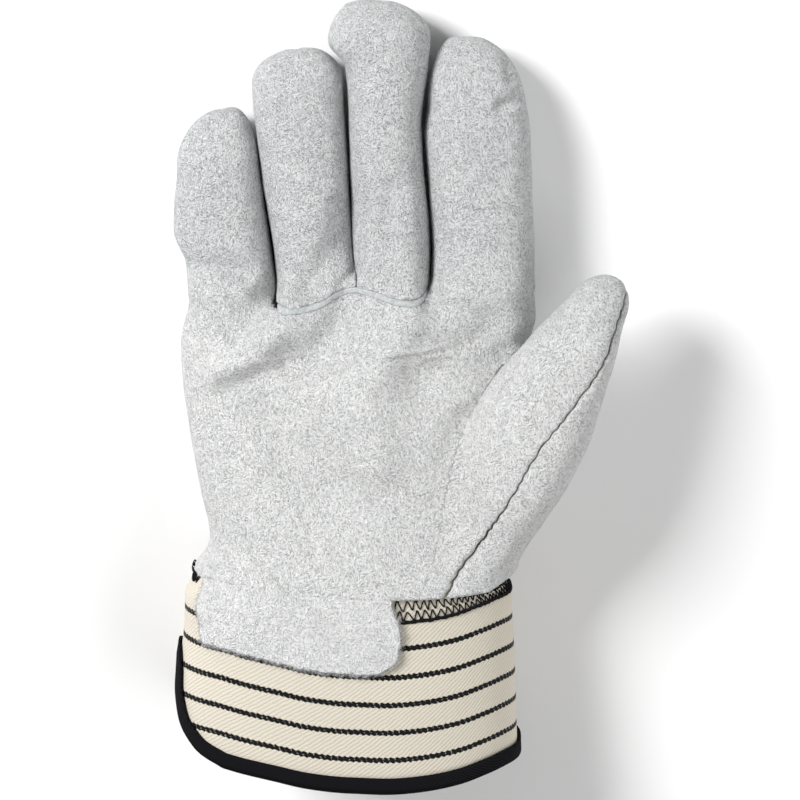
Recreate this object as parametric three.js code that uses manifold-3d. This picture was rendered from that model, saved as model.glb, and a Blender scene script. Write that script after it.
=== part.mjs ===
// A right-hand rigger glove of split leather with a striped canvas safety cuff.
// It lies on its back with the palm up: +Y runs to the fingertips, +X to the thumb and +Z out of the palm.
// Lengths are in millimetres. The outer skin is one set of tubes (hand, four fingers, thumb), the hollow is
// the same set a leather wall smaller, and the shell between them is cut along the glove's real seams.
import * as THREE from "three";
import { mergeVertices } from "three/addons/utils/BufferGeometryUtils.js";
import Module from "manifold-3d";

const wasm = await Module();
wasm.setup();

// Hand
const PALM_WIDTH = 117;
const HAND_LENGTH = 98; // wrist edge to the finger crotches
const HAND_HEIGHT = 57; // over the palm at the wrist edge, the tallest place of the leather
const KNUCKLE_ROUND = 12; // length over which the end of the hand rounds off between the fingers
const KNUCKLE_WIDTH = 0.6; // width left where that end has rounded off
const MIDDLE_SHARE = 0.47; // widest line of a section, as a share of its height
const SQUARENESS = 2.35; // exponent of the hand's and the cuff's sections; 2 is an ellipse

// Walls and clearances
const LEATHER = 1.8;
const CANVAS = 1.1;
const TAPE = 0.9;
const SEAM_GAP = 0.35;
const FINGER_GAP = 0.9;
const TAPE_GAP = 0.5;
const TUCK_GAP = 0.8; // between the cuff and the leather that it is tucked into

// Cuff
const CUFF_LENGTH = 64.4; // wrist edge to the hem, along the middle of the palm side
const CUFF_TUCK = 5; // canvas hidden inside the leather
const CUFF_SWAY = 7.3; // how far the weave and the hem rise towards the little-finger side
const TAPE_WIDTH = 3.4;
const SLIT_DEPTH = 31; // height of the rounded opening on the little-finger side
const SLIT_TURN = 0.135; // share of the way round the cuff that each rounding takes

// Patch over the cuff
const PATCH_LENGTH = 24.6;

// Finger sizes: length past the crotches, width, height over the palm side, lean in degrees to the little
// finger, length of the rounded tip and how far that tip sits to the thumb side
const LITTLE = { length: 57.8, width: 31, height: 26, lean: 4.2, tip: 18, tipShift: 3.5 };
const RING = { length: 78.7, width: 28, height: 27, lean: 4.1, tip: 11.5, tipShift: 0 };
const MIDDLE = { length: 94, width: 25.5, height: 28, lean: 3, tip: 13, tipShift: -4 };
const INDEX = { length: 82, width: 34, height: 28, lean: 2.3, tip: 21, tipShift: -5 };
const FINGER_SQUARENESS = 2.45;

// Thumb
const THUMB_LENGTH = 110;
const THUMB_WIDTH = 39;
const THUMB_HEIGHT = 37;
const THUMB_LIFT = 37.5; // height of its middle over the table, halfway along
const THUMB_LEAN = 24.4; // degrees outwards from the fingers' direction
const THUMB_TIP = 9;
const THUMB_SEAM_SLANT = 38; // degrees below level, of the cut between its front and its back
const THUMB_ROOT = { across: 0.352, along: 0.051 }; // shares of the palm's width and the hand's length

// Welt in the seam across the base of the two middle fingers
const WELT_WIDTH = 2.2;
const WELT_PROUD = 0.9;

// How finely the tubes are cut into facets
const HAND_SIDES = 32;
const FINGER_SIDES = 14;
const THUMB_SIDES = 18;
const HAND_STATIONS = 11;
const FINGER_STATIONS = 7;
const THUMB_STATIONS = 9;
const TIP_STATIONS = [0, 0.36, 0.64, 0.86, 0.98]; // quarter turns of the rounding
const FOLD_STEPS = 12;
const BASE_STEPS = 16;
const PATCH_COLUMNS = 14;
const CANVAS_DROPS = [0, 0.11, 0.4, 0.7, 1]; // from the tuck to the canvas edge
const WRIST_OVERRUN = 5; // length of the hand's tube that the cut at the wrist takes off
const FAR = 200; // reach of cutting blocks, past anything in the glove

// Sections of the hand: along in hand lengths from the wrist edge, sides in palm widths, top in hand heights
const HAND_ROWS = [
  { along: 0.0, left: -0.474, right: 0.463, top: 1.0 },
  { along: 0.143, left: -0.414, right: 0.472, top: 0.921 },
  { along: 0.327, left: -0.44, right: 0.483, top: 0.868 },
  { along: 0.5, left: -0.466, right: 0.497, top: 0.825 },
  { along: 0.673, left: -0.483, right: 0.506, top: 0.763 },
  { along: 0.816, left: -0.487, right: 0.513, top: 0.693 },
  { along: 0.918, left: -0.472, right: 0.514, top: 0.632 },
  { along: 1.0, left: -0.457, right: 0.513, top: 0.57 },
];

// Sections of the cuff: along in cuff lengths from the hem, sides in palm widths, top in hand heights
const CUFF_ROWS = [
  { along: 0.0, left: -0.545, right: 0.504, top: 1.125 },
  { along: 0.4, left: -0.537, right: 0.497, top: 1.09 },
  { along: 0.7, left: -0.513, right: 0.489, top: 1.045 },
  { along: 0.92, left: -0.502, right: 0.478, top: 1.012 },
];

// Sections of the fingers: along in finger lengths, sides in finger widths, top in finger heights
const FINGER_ROWS = {
  little: [
    { along: -0.3, left: -0.36, right: 0.36, top: 1.12 },
    { along: 0.0, left: -0.49, right: 0.445, top: 1.2 },
    { along: 0.14, left: -0.49, right: 0.435, top: 1.08 },
    { along: 0.34, left: -0.59, right: 0.41, top: 1.02 },
    { along: 0.5, left: -0.56, right: 0.385, top: 1.0 },
    { along: 0.68, left: -0.5, right: 0.375, top: 0.98 },
    { along: 1.0, left: -0.48, right: 0.375, top: 0.9 },
  ],
  ring: [
    { along: -0.25, left: -0.4, right: 0.4, top: 1.22 },
    { along: 0.0, left: -0.46, right: 0.46, top: 1.2 },
    { along: 0.16, left: -0.485, right: 0.455, top: 1.06 },
    { along: 0.37, left: -0.52, right: 0.47, top: 1.03 },
    { along: 0.58, left: -0.56, right: 0.48, top: 1.0 },
    { along: 0.83, left: -0.58, right: 0.49, top: 0.96 },
    { along: 1.0, left: -0.58, right: 0.485, top: 0.9 },
  ],
  middle: [
    { along: -0.22, left: -0.4, right: 0.4, top: 1.22 },
    { along: 0.0, left: -0.462, right: 0.456, top: 1.2 },
    { along: 0.2, left: -0.5, right: 0.5, top: 1.06 },
    { along: 0.54, left: -0.475, right: 0.46, top: 1.0 },
    { along: 0.78, left: -0.46, right: 0.59, top: 0.96 },
    { along: 0.87, left: -0.66, right: 0.63, top: 0.94 },
    { along: 1.0, left: -0.66, right: 0.62, top: 0.9 },
  ],
  index: [
    { along: -0.25, left: -0.36, right: 0.36, top: 1.16 },
    { along: -0.1, left: -0.48, right: 0.49, top: 1.24 },
    { along: 0.0, left: -0.5, right: 0.485, top: 1.24 },
    { along: 0.18, left: -0.468, right: 0.515, top: 1.1 },
    { along: 0.4, left: -0.49, right: 0.53, top: 1.04 },
    { along: 0.62, left: -0.503, right: 0.52, top: 1.0 },
    { along: 0.76, left: -0.46, right: 0.475, top: 0.96 },
    { along: 1.0, left: -0.455, right: 0.45, top: 0.9 },
  ],
};

// Sections of the thumb: along in thumb lengths, sides and the palm seam in thumb widths,
// half in half thumb heights, lift in thumb lifts
const THUMB_ROWS = [
  { along: 0.0, left: -0.33, right: 0.24, seam: -0.385, half: 0.94, lift: 0.76 },
  { along: 0.136, left: -0.45, right: 0.325, seam: -0.474, half: 1.08, lift: 0.8 },
  { along: 0.236, left: -0.56, right: 0.36, seam: -0.55, half: 1.12, lift: 0.88 },
  { along: 0.382, left: -0.625, right: 0.402, seam: -0.61, half: 1.0, lift: 0.973 },
  { along: 0.5, left: -0.6, right: 0.405, seam: -0.59, half: 0.89, lift: 1.0 },
  { along: 0.618, left: -0.52, right: 0.365, seam: -0.515, half: 0.81, lift: 1.0 },
  { along: 0.745, left: -0.423, right: 0.3, seam: -0.43, half: 0.73, lift: 0.973 },
  { along: 0.873, left: -0.29, right: 0.23, seam: -0.34, half: 0.6, lift: 0.95 },
  { along: 1.0, left: -0.2, right: 0.2, seam: -0.3, half: 0.45, lift: 0.93 },
];

// The seam that shows along the thumb: along in thumb lengths, across in thumb widths
const THUMB_SEAM_ROWS = [
  { along: -0.2, across: -0.2 },
  { along: -0.018, across: -0.17 },
  { along: 0.11, across: -0.1 },
  { along: 0.27, across: -0.06 },
  { along: 0.445, across: -0.02 },
  { along: 0.6, across: 0.08 },
  { along: 0.78, across: 0.174 },
  { along: 0.95, across: 0.133 },
  { along: 1.2, across: 0.12 },
];

// Places along the seam between front and back, in hand lengths from the wrist edge
const SIDE_SEAM_PLACES = [-0.66, 0, 0.14, 0.5, 0.82, 1, 1.25, 1.6, 3];

// Middle line of the welt: across in palm widths, along in hand lengths
const WELT_ROWS = [
  { across: -0.21, along: 0.957 },
  { across: -0.152, along: 0.954 },
  { across: -0.09, along: 0.967 },
  { across: -0.035, along: 0.996 },
  { across: 0.02, along: 1.011 },
  { across: 0.07, along: 1.005 },
  { across: 0.13, along: 0.985 },
  { across: 0.18, along: 0.98 },
  { across: 0.222, along: 1.008 },
];

// Folds pressed into the palm side: ends and middle in palm widths and hand lengths, depth in hand heights,
// reach in palm widths; a depth below 0 is a ridge
const FOLDS = [
  { from: [-0.005, 0.98], by: [-0.04, 0.8], to: [-0.35, 0.68], depth: 0.06, reach: 0.068 },
  { from: [-0.22, 0.6], by: [-0.14, 0.5], to: [-0.08, 0.36], depth: 0.056, reach: 0.137 },
  { from: [0.4, 0.8], by: [0.27, 0.75], to: [0.12, 0.62], depth: 0.063, reach: 0.085 },
  { from: [-0.225, 0.99], by: [-0.25, 0.9], to: [-0.32, 0.86], depth: 0.046, reach: 0.051 },
  { from: [0.02, 0.8], by: [0.05, 0.6], to: [0.08, 0.38], depth: -0.025, reach: 0.077 },
  { from: [-0.01, 1.2], by: [-0.06, 1.1], to: [-0.12, 1.03], depth: 0.042, reach: 0.043 },
];

// Rounded corners of the cuff at its slit: turn in shares of one rounding, lift in slit depths from the hem
const SLIT_ROWS = [
  { turn: 0.0, lift: 1.0 },
  { turn: 0.1, lift: 0.98 },
  { turn: 0.2, lift: 0.86 },
  { turn: 0.27, lift: 0.65 },
  { turn: 0.44, lift: 0.33 },
  { turn: 0.59, lift: 0.2 },
  { turn: 0.75, lift: 0.09 },
  { turn: 1.0, lift: 0.0 },
];

// How the cuff's weave and hem rise: turn once round the cuff from its slit over the palm side, rise in
// cuff sways
const SWAY_ROWS = [
  { turn: 0.0, rise: 0.96 },
  { turn: 0.06, rise: 1.0 },
  { turn: 0.12, rise: 0.96 },
  { turn: 0.16, rise: 0.76 },
  { turn: 0.19, rise: 0.56 },
  { turn: 0.22, rise: 0.27 },
  { turn: 0.25, rise: 0.08 },
  { turn: 0.28, rise: 0.0 },
  { turn: 0.31, rise: 0.06 },
  { turn: 0.35, rise: 0.23 },
  { turn: 0.39, rise: 0.47 },
  { turn: 0.43, rise: 0.58 },
  { turn: 0.5, rise: 0.48 },
  { turn: 0.75, rise: 0.5 },
  { turn: 1.0, rise: 0.96 },
];

// The leather's edge at the wrist: across in palm widths, rise in cuff sways
const WRIST_EDGE_ROWS = [
  { across: -0.47, rise: 0.3 },
  { across: -0.38, rise: 0.48 },
  { across: -0.24, rise: 0.4 },
  { across: -0.12, rise: 0.25 },
  { across: 0.0, rise: 0.12 },
  { across: 0.14, rise: 0.04 },
  { across: 0.28, rise: 0.0 },
  { across: 0.38, rise: 0.03 },
  { across: 0.43, rise: 0.3 },
  { across: 0.47, rise: 0.5 },
];

// Outline of the patch: along in patch lengths from the wrist edge, its ends as turns round the cuff
const PATCH_ROWS = [
  { along: 0.0, from: 0.052, to: 0.28 },
  { along: 0.2, from: 0.052, to: 0.284 },
  { along: 0.5, from: 0.052, to: 0.288 },
  { along: 0.78, from: 0.052, to: 0.286 },
  { along: 0.93, from: 0.052, to: 0.274 },
  { along: 1.0, from: 0.054, to: 0.262 },
];

const radians = THREE.MathUtils.degToRad;
const clamp = THREE.MathUtils.clamp;
const power = (value, exponent) => Math.sign(value) * Math.abs(value) ** exponent;

// Smooth curve through one column of a table, read at a place on another column.
function readRows(rows, key, place, by = "along") {
  const last = rows.length - 1;
  if (place <= rows[0][by]) return rows[0][key];
  if (place >= rows[last][by]) return rows[last][key];
  const i = rows.findIndex((row) => row[by] > place) - 1;
  const slope = (a, b) => (rows[b][key] - rows[a][key]) / (rows[b][by] - rows[a][by]);
  const step = rows[i + 1][by] - rows[i][by];
  const secant = slope(i, i + 1);
  const limited = (other) => (other * secant <= 0 ? 0 : (2 * other * secant) / (other + secant));
  const start = i > 0 ? limited(slope(i - 1, i)) : secant;
  const end = i + 1 < last ? limited(slope(i + 1, i + 2)) : secant;
  const t = (place - rows[i][by]) / step;
  const rise = rows[i + 1][key] - rows[i][key];
  const bend = step * (start * t * (1 - t) ** 2 - end * t * t * (1 - t));
  return rows[i][key] + rise * t * t * (3 - 2 * t) + bend;
}

// Closed solid from a BufferGeometry-style list of points and triangles.
function solidFrom(points, triangles) {
  const geometry = new THREE.BufferGeometry();
  const places = points.flatMap((p) => [p.x, p.y, p.z]);
  geometry.setAttribute("position", new THREE.Float32BufferAttribute(places, 3));
  geometry.setIndex(triangles);
  const merged = mergeVertices(geometry, 1e-4);
  const vertProperties = merged.attributes.position.array;
  const triVerts = new Uint32Array(merged.index.array);
  return new wasm.Manifold(new wasm.Mesh({ numProp: 3, vertProperties, triVerts }));
}

// Triangles of the biggest connected body, without the crumbs that two facets can leave beside a cut.
function mainBody(triangles, pointCount) {
  const parent = Array.from({ length: pointCount }, (_, i) => i);
  const rootOf = (i) => {
    while (parent[i] !== i) {
      parent[i] = parent[parent[i]];
      i = parent[i];
    }
    return i;
  };
  const sizes = new Array(pointCount).fill(0);
  for (let i = 0; i < triangles.length; i += 3) {
    for (const other of [triangles[i + 1], triangles[i + 2]]) parent[rootOf(other)] = rootOf(triangles[i]);
  }
  for (let i = 0; i < triangles.length; i += 3) sizes[rootOf(triangles[i])] += 1;
  const main = sizes.indexOf(Math.max(...sizes));
  return triangles.filter((_, i) => rootOf(triangles[i - (i % 3)]) === main);
}

function geometryOf(solid) {
  const { numProp, vertProperties, triVerts } = solid.getMesh();
  const count = vertProperties.length / numProp;
  const positions = new Float32Array(count * 3);
  for (let i = 0; i < count; i++) {
    const start = i * numProp;
    positions.set(vertProperties.subarray(start, start + 3), i * 3);
  }
  const geometry = new THREE.BufferGeometry();
  geometry.setAttribute("position", new THREE.BufferAttribute(positions, 3));
  geometry.setIndex(new THREE.BufferAttribute(mainBody(new Uint32Array(triVerts), count), 1));
  return geometry.toNonIndexed();
}

// Skins rings of equal length into a closed tube with flat ends, or into a closed loop.
function loft(rings, closed = false) {
  const sides = rings[0].length;
  const points = rings.flat();
  const triangles = [];
  const links = closed ? rings.length : rings.length - 1;
  for (let i = 0; i < links; i++) {
    const here = i * sides;
    const ahead = ((i + 1) % rings.length) * sides;
    for (let j = 0; j < sides; j++) {
      const beside = (j + 1) % sides;
      const [a, b, c, d] = [here + j, here + beside, ahead + j, ahead + beside];
      triangles.push(a, b, d, a, d, c);
    }
  }
  if (!closed) {
    for (const [ring, flip] of [[0, true], [rings.length - 1, false]]) {
      const middle = rings[ring].reduce((sum, p) => sum.add(p), new THREE.Vector3()).divideScalar(sides);
      const hub = points.push(middle) - 1;
      for (let j = 0; j < sides; j++) {
        const [a, b] = [ring * sides + j, ring * sides + ((j + 1) % sides)];
        triangles.push(...(flip ? [b, a, hub] : [a, b, hub]));
      }
    }
  }
  return solidFrom(points, triangles);
}

// Prism over an outline in plan, or along X over an outline in Y and Z.
function prism(outline, low, high, place = (p, level) => new THREE.Vector3(p[0], p[1], level)) {
  const contour = outline.map((p) => new THREE.Vector2(p[0], p[1]));
  if (THREE.ShapeUtils.isClockWise(contour)) contour.reverse();
  const count = contour.length;
  const points = [low, high].flatMap((level) => contour.map((p) => place([p.x, p.y], level)));
  const triangles = THREE.ShapeUtils.triangulateShape(contour, []).flatMap(([a, b, c]) => [
    a, c, b, a + count, b + count, c + count,
  ]);
  for (let i = 0; i < count; i++) {
    const j = (i + 1) % count;
    triangles.push(i, j, j + count, i, j + count, i + count);
  }
  return solidFrom(points, triangles);
}

const union = (...solids) => solids.reduce((sum, solid) => sum.add(solid));

// Points of the folds' curves in millimetres, so that the dent of each is a distance to them.
const foldPaths = FOLDS.map((fold) => {
  const at = ([across, along]) => new THREE.Vector2(across * PALM_WIDTH, along * HAND_LENGTH);
  const curve = new THREE.QuadraticBezierCurve(at(fold.from), at(fold.by), at(fold.to));
  const points = curve.getPoints(FOLD_STEPS);
  return { depth: fold.depth * HAND_HEIGHT, reach: fold.reach * PALM_WIDTH, points };
});

// How far the palm side is pressed in at a place; it fades out towards the sides and the back.
function dent(point, floor, ceiling) {
  const reachUp = clamp((point.z - floor) / Math.max(ceiling - floor, 1), 0, 1);
  const spot = new THREE.Vector2(point.x, point.y);
  return foldPaths.reduce((sum, fold) => {
    const away = Math.min(...fold.points.map((p) => p.distanceTo(spot)));
    return sum + fold.depth * Math.exp(-((away / fold.reach) ** 2)) * reachUp;
  }, 0);
}

// One closed section. Sides and half height are measured from its middle, and it is flat on the table.
function section({ origin, across, left, right, middle, half, squareness, sides, floor = 0 }) {
  return Array.from({ length: sides }, (_, i) => {
    const turn = (2 * Math.PI * i) / sides;
    const reach = power(Math.cos(turn), 2 / squareness);
    const point = origin.clone().addScaledVector(across, reach > 0 ? reach * right : -reach * left);
    point.z = Math.max(middle + half * power(Math.sin(turn), 2 / squareness), floor);
    point.z -= dent(point, middle, middle + half);
    return point;
  });
}

// Share of the full section left at a place near a rounded tip.
const roundOff = (place, start, end) => Math.sqrt(1 - clamp((place - start) / (end - start), 0, 1) ** 2);

// Places for sections: even up to where a tip starts, then closer and closer.
function stations(from, tipStart, tipEnd, even) {
  const body = Array.from({ length: even }, (_, i) => from + ((tipStart - from) * i) / even);
  const tip = TIP_STATIONS.map((t) => tipStart + (tipEnd - tipStart) * Math.sin((t * Math.PI) / 2));
  return [...body, ...tip];
}

const UP = new THREE.Vector3(0, 0, 1);
const ACROSS = new THREE.Vector3(1, 0, 0);

// The hand's own section at a place along Y, from the crotches down past the wrist to the hem.
function handSection(y) {
  const cuffRows = CUFF_ROWS.map((row) => ({ ...row, y: (row.along - 1) * CUFF_LENGTH }));
  const rows = [...cuffRows, ...HAND_ROWS.map((row) => ({ ...row, y: row.along * HAND_LENGTH }))];
  const read = (key) => readRows(rows, key, y, "y");
  const top = read("top") * HAND_HEIGHT;
  const [left, right] = [read("left") * PALM_WIDTH, read("right") * PALM_WIDTH];
  return { left, right, middle: top * MIDDLE_SHARE, top };
}

// Hand tube, grown or shrunk by a distance. It starts before the wrist edge where it is to be cut open.
function handTube(grow, startY) {
  const end = HAND_LENGTH + grow;
  const start = HAND_LENGTH - KNUCKLE_ROUND;
  return loft(
    stations(startY, start, end, HAND_STATIONS).map((y) => {
      const { left, right, middle, top } = handSection(Math.min(y, HAND_LENGTH));
      const share = roundOff(y, start, end);
      const widthShare = THREE.MathUtils.lerp(KNUCKLE_WIDTH, 1, share);
      return section({
        origin: new THREE.Vector3(0, y, 0),
        across: ACROSS,
        left: (left - grow) * widthShare,
        right: (right + grow) * widthShare,
        middle,
        half: (top - middle + grow) * share,
        squareness: SQUARENESS,
        sides: HAND_SIDES,
        floor: -grow,
      });
    }).map((ring) => ring.reverse()),
  );
}

// Fingers stand side by side across the end of the palm, a finger gap apart, from the thumb side.
function placeFingers() {
  const order = [["index", INDEX], ["middle", MIDDLE], ["ring", RING], ["little", LITTLE]];
  let edge = handSection(HAND_LENGTH).right;
  return Object.fromEntries(
    order.map(([name, size]) => {
      const root = FINGER_ROWS[name].find((row) => row.along === 0);
      const axis = edge - root.right * size.width;
      edge = axis + root.left * size.width - FINGER_GAP;
      return [name, { name, size, rows: FINGER_ROWS[name], axis, innerEdge: edge + FINGER_GAP / 2 }];
    }),
  );
}
const fingers = placeFingers();

function fingerTube({ size, rows, axis }, grow) {
  const lean = radians(size.lean);
  const forward = new THREE.Vector3(-Math.sin(lean), Math.cos(lean), 0);
  const across = new THREE.Vector3(Math.cos(lean), Math.sin(lean), 0);
  const root = new THREE.Vector3(axis, HAND_LENGTH, 0);
  const end = size.length + grow;
  const start = size.length - size.tip;
  return loft(
    stations(rows[0].along * size.length - grow, start, end, FINGER_STATIONS).map((along) => {
      const read = (key) => readRows(rows, key, along / size.length);
      const share = roundOff(along, start, end);
      const top = read("top") * size.height;
      const middle = top * MIDDLE_SHARE;
      const shift = size.tipShift * (1 - share);
      return section({
        origin: root.clone().addScaledVector(forward, along).addScaledVector(across, shift),
        across,
        left: (read("left") * size.width - grow) * share,
        right: (read("right") * size.width + grow) * share,
        middle,
        half: (top - middle + grow) * share,
        squareness: FINGER_SQUARENESS,
        sides: FINGER_SIDES,
        floor: -grow,
      });
    }).map((ring) => ring.reverse()),
  );
}

// The thumb's own directions, and its section at a place along it.
const thumbLean = radians(THUMB_LEAN);
const THUMB_FORWARD = new THREE.Vector3(Math.sin(thumbLean), Math.cos(thumbLean), 0);
const THUMB_ACROSS = new THREE.Vector3(Math.cos(thumbLean), -Math.sin(thumbLean), 0);
const THUMB_START = new THREE.Vector3(THUMB_ROOT.across * PALM_WIDTH, THUMB_ROOT.along * HAND_LENGTH, 0);

function thumbSection(along) {
  const read = (key) => readRows(THUMB_ROWS, key, along / THUMB_LENGTH);
  return {
    left: read("left") * THUMB_WIDTH,
    right: read("right") * THUMB_WIDTH,
    middle: read("lift") * THUMB_LIFT,
    half: (read("half") * THUMB_HEIGHT) / 2,
    seam: read("seam") * THUMB_WIDTH,
  };
}

const thumbPoint = (along, across, z = 0) =>
  THUMB_START.clone().addScaledVector(THUMB_FORWARD, along).addScaledVector(THUMB_ACROSS, across).setZ(z);

function thumbTube(grow) {
  const end = THUMB_LENGTH + grow;
  const start = THUMB_LENGTH - THUMB_TIP;
  return loft(
    stations(THUMB_LENGTH * THUMB_ROWS[0].along - grow, start, end, THUMB_STATIONS).map((along) => {
      const { left, right, middle, half } = thumbSection(along);
      const share = roundOff(along, start, end);
      return section({
        origin: thumbPoint(along, 0),
        across: THUMB_ACROSS,
        left: (left - grow) * share,
        right: (right + grow) * share,
        middle,
        half: (half + grow) * share,
        squareness: SQUARENESS,
        sides: THUMB_SIDES,
        floor: -grow,
      });
    }).map((ring) => ring.reverse()),
  );
}

// Everything over the seam that runs round the glove's sides, moved up or down by half a seam gap.
function overSideSeam(shift) {
  const line = SIDE_SEAM_PLACES.map((share) => {
    const y = share * HAND_LENGTH;
    const middle = share > 1 ? INDEX.height * MIDDLE_SHARE : handSection(y).middle;
    return [y, middle + shift];
  });
  const outline = [...line, [line.at(-1)[0], FAR], [line[0][0], FAR]];
  return prism(outline, -FAR, FAR, ([y, z], x) => new THREE.Vector3(x, y, z));
}

// Everything on the thumb's side of the seam between palm and thumb.
function thumbSide(shift) {
  const places = [-0.3, ...THUMB_ROWS.map((row) => row.along).slice(0, -1), 1.15];
  const seam = places.map((share) => {
    const along = share * THUMB_LENGTH;
    const point = thumbPoint(along, thumbSection(along).seam + shift);
    return [point.x, point.y];
  });
  const outline = [...seam, [FAR, seam.at(-1)[1]], [FAR, -FAR], [seam[0][0], -FAR]];
  return prism(outline, -FAR, FAR);
}

// Height of a section's top side at a place across it.
function topOf({ left, right, middle, half }, across) {
  const share = clamp(across / (across > 0 ? right : left), 0, 0.98);
  return middle + half * (1 - share ** SQUARENESS) ** (1 / SQUARENESS);
}

// Everything behind the seam that shows along the thumb: a slanted cut that follows the seam over its top.
function thumbBehindSeam(shift) {
  const slant = radians(THUMB_SEAM_SLANT);
  return loft(
    THUMB_SEAM_ROWS.map((row) => {
      const along = row.along * THUMB_LENGTH;
      const { left, right, middle, half } = thumbSection(along);
      const across = row.across * THUMB_WIDTH;
      const thumbTop = topOf({ left, right, middle, half }, across);
      const spot = thumbPoint(along, across);
      const skin = handSection(spot.y);
      const top = Math.max(thumbTop, topOf({ ...skin, half: skin.top - skin.middle }, spot.x));
      const [run, rise] = [Math.cos(slant), Math.sin(slant)];
      const at = (distance) => [across + distance * run + shift, top + distance * rise];
      const [outer, inner] = [at(FAR / 4), at(-FAR / 2)];
      const corners = [inner, [inner[0], -FAR], [FAR, -FAR], [FAR, outer[1]], outer];
      return corners.map(([a, z]) => thumbPoint(along, a, z)).reverse();
    }),
  );
}

// A band across the base of some fingers, between the welt's middle line moved by two distances.
function baseBand(from, to, low, high) {
  const start = Math.max(from, WELT_ROWS[0].across * PALM_WIDTH);
  const end = Math.min(to, WELT_ROWS.at(-1).across * PALM_WIDTH);
  const places = Array.from({ length: BASE_STEPS + 1 }, (_, i) => start + ((end - start) * i) / BASE_STEPS);
  if (from < start) places.unshift(from);
  if (to > end) places.push(to);
  const line = (shift) =>
    places.map((x) => [x, readRows(WELT_ROWS, "along", x / PALM_WIDTH, "across") * HAND_LENGTH + shift]);
  const upper = high === FAR ? [[from, FAR], [to, FAR]] : line(high);
  return prism([...line(low), ...upper.reverse()], -FAR, FAR);
}

const wristEdge = (x) => readRows(WRIST_EDGE_ROWS, "rise", x / PALM_WIDTH, "across") * CUFF_SWAY;

// Leather shell before it is cut along its seams
const fingerHollows = Object.values(fingers).map((finger) => fingerTube(finger, -LEATHER));
const inner = union(handTube(-LEATHER, -WRIST_OVERRUN * 2), ...fingerHollows, thumbTube(-LEATHER));
const pastWrist = prism(
  [
    [-FAR, wristEdge(-FAR)],
    ...WRIST_EDGE_ROWS.map((row) => [row.across * PALM_WIDTH, row.rise * CUFF_SWAY]),
    [FAR, wristEdge(FAR)],
    [FAR, FAR],
    [-FAR, FAR],
  ],
  -FAR,
  FAR,
);
const hand = handTube(0, -WRIST_OVERRUN);
const tubes = Object.fromEntries(Object.entries(fingers).map(([name, f]) => [name, fingerTube(f, 0)]));
const halfGap = SEAM_GAP / 2;
const frontSide = overSideSeam(halfGap);
const backSide = overSideSeam(-halfGap);

// The two middle fingers' own span across the base, and the lines that bound it
const baseLeft = fingers.ring.innerEdge;
const baseSplit = fingers.middle.innerEdge;
const baseRight = fingers.index.innerEdge;
const overWelt = WELT_WIDTH / 2 + SEAM_GAP;

function palmPanel() {
  const base = baseBand(baseLeft - halfGap, baseRight + halfGap, -overWelt, FAR);
  const past = baseBand(-FAR, FAR, -overWelt, FAR);
  const roots = union(tubes.ring, tubes.middle).subtract(past);
  const skin = union(hand.subtract(base), roots, tubes.little, tubes.index);
  return skin.subtract(inner).subtract(thumbSide(-SEAM_GAP)).intersect(frontSide).intersect(pastWrist);
}

function fingerFront(tube, from, to) {
  const base = baseBand(from + halfGap, to - halfGap, overWelt, FAR);
  const end = hand.intersect(base);
  const past = baseBand(-FAR, FAR, overWelt, FAR);
  return union(tube.intersect(past), end).subtract(inner).intersect(frontSide);
}

function baseWelt() {
  const strip = baseBand(baseLeft + halfGap, baseRight - halfGap, -WELT_WIDTH / 2, WELT_WIDTH / 2);
  const roots = union(fingerTube(fingers.ring, WELT_PROUD), fingerTube(fingers.middle, WELT_PROUD));
  const proud = union(handTube(WELT_PROUD, 0), roots);
  return proud.intersect(strip).subtract(inner).intersect(frontSide);
}

function backPanel() {
  const skin = union(hand, ...Object.values(tubes));
  return skin.subtract(inner).subtract(thumbSide(-SEAM_GAP)).subtract(backSide).intersect(pastWrist);
}

function thumbSkin() {
  const skin = union(hand, thumbTube(0)).subtract(inner);
  return skin.intersect(thumbSide(0)).intersect(pastWrist);
}
const thumbFront = () => thumbSkin().subtract(thumbBehindSeam(-halfGap));
const thumbBack = () => thumbSkin().intersect(thumbBehindSeam(halfGap));

// A point of the canvas cuff: turn from 0 at the slit over the palm side to 0.5 at the thumb side and to 1.
// out is measured from the middle of the canvas. Points lie on the same facets as the leather's own.
function cuffPoint(turn, y, out) {
  const { left, right, middle, top } = handSection(y);
  const inset = out - (LEATHER + TUCK_GAP + CANVAS / 2);
  const hemShare = clamp(-y / CUFF_LENGTH, 0, 1);
  const floorAtHem = CANVAS / 2 + TAPE_GAP + TAPE;
  const floor = THREE.MathUtils.lerp(LEATHER + TUCK_GAP + CANVAS / 2, floorAtHem, hemShare) - out;
  const corner = (step) => {
    const angle = Math.PI - (2 * Math.PI * step) / HAND_SIDES;
    const reach = power(Math.cos(angle), 2 / SQUARENESS);
    const x = reach > 0 ? reach * (right + inset) : -reach * (left - inset);
    const z = Math.max(middle + (top - middle + inset) * power(Math.sin(angle), 2 / SQUARENESS), floor);
    return new THREE.Vector3(x, y, z);
  };
  const step = Math.floor(turn * HAND_SIDES);
  return corner(step).lerp(corner(step + 1), turn * HAND_SIDES - step);
}

const sway = (turn) => readRows(SWAY_ROWS, "rise", turn, "turn") * CUFF_SWAY;

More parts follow.
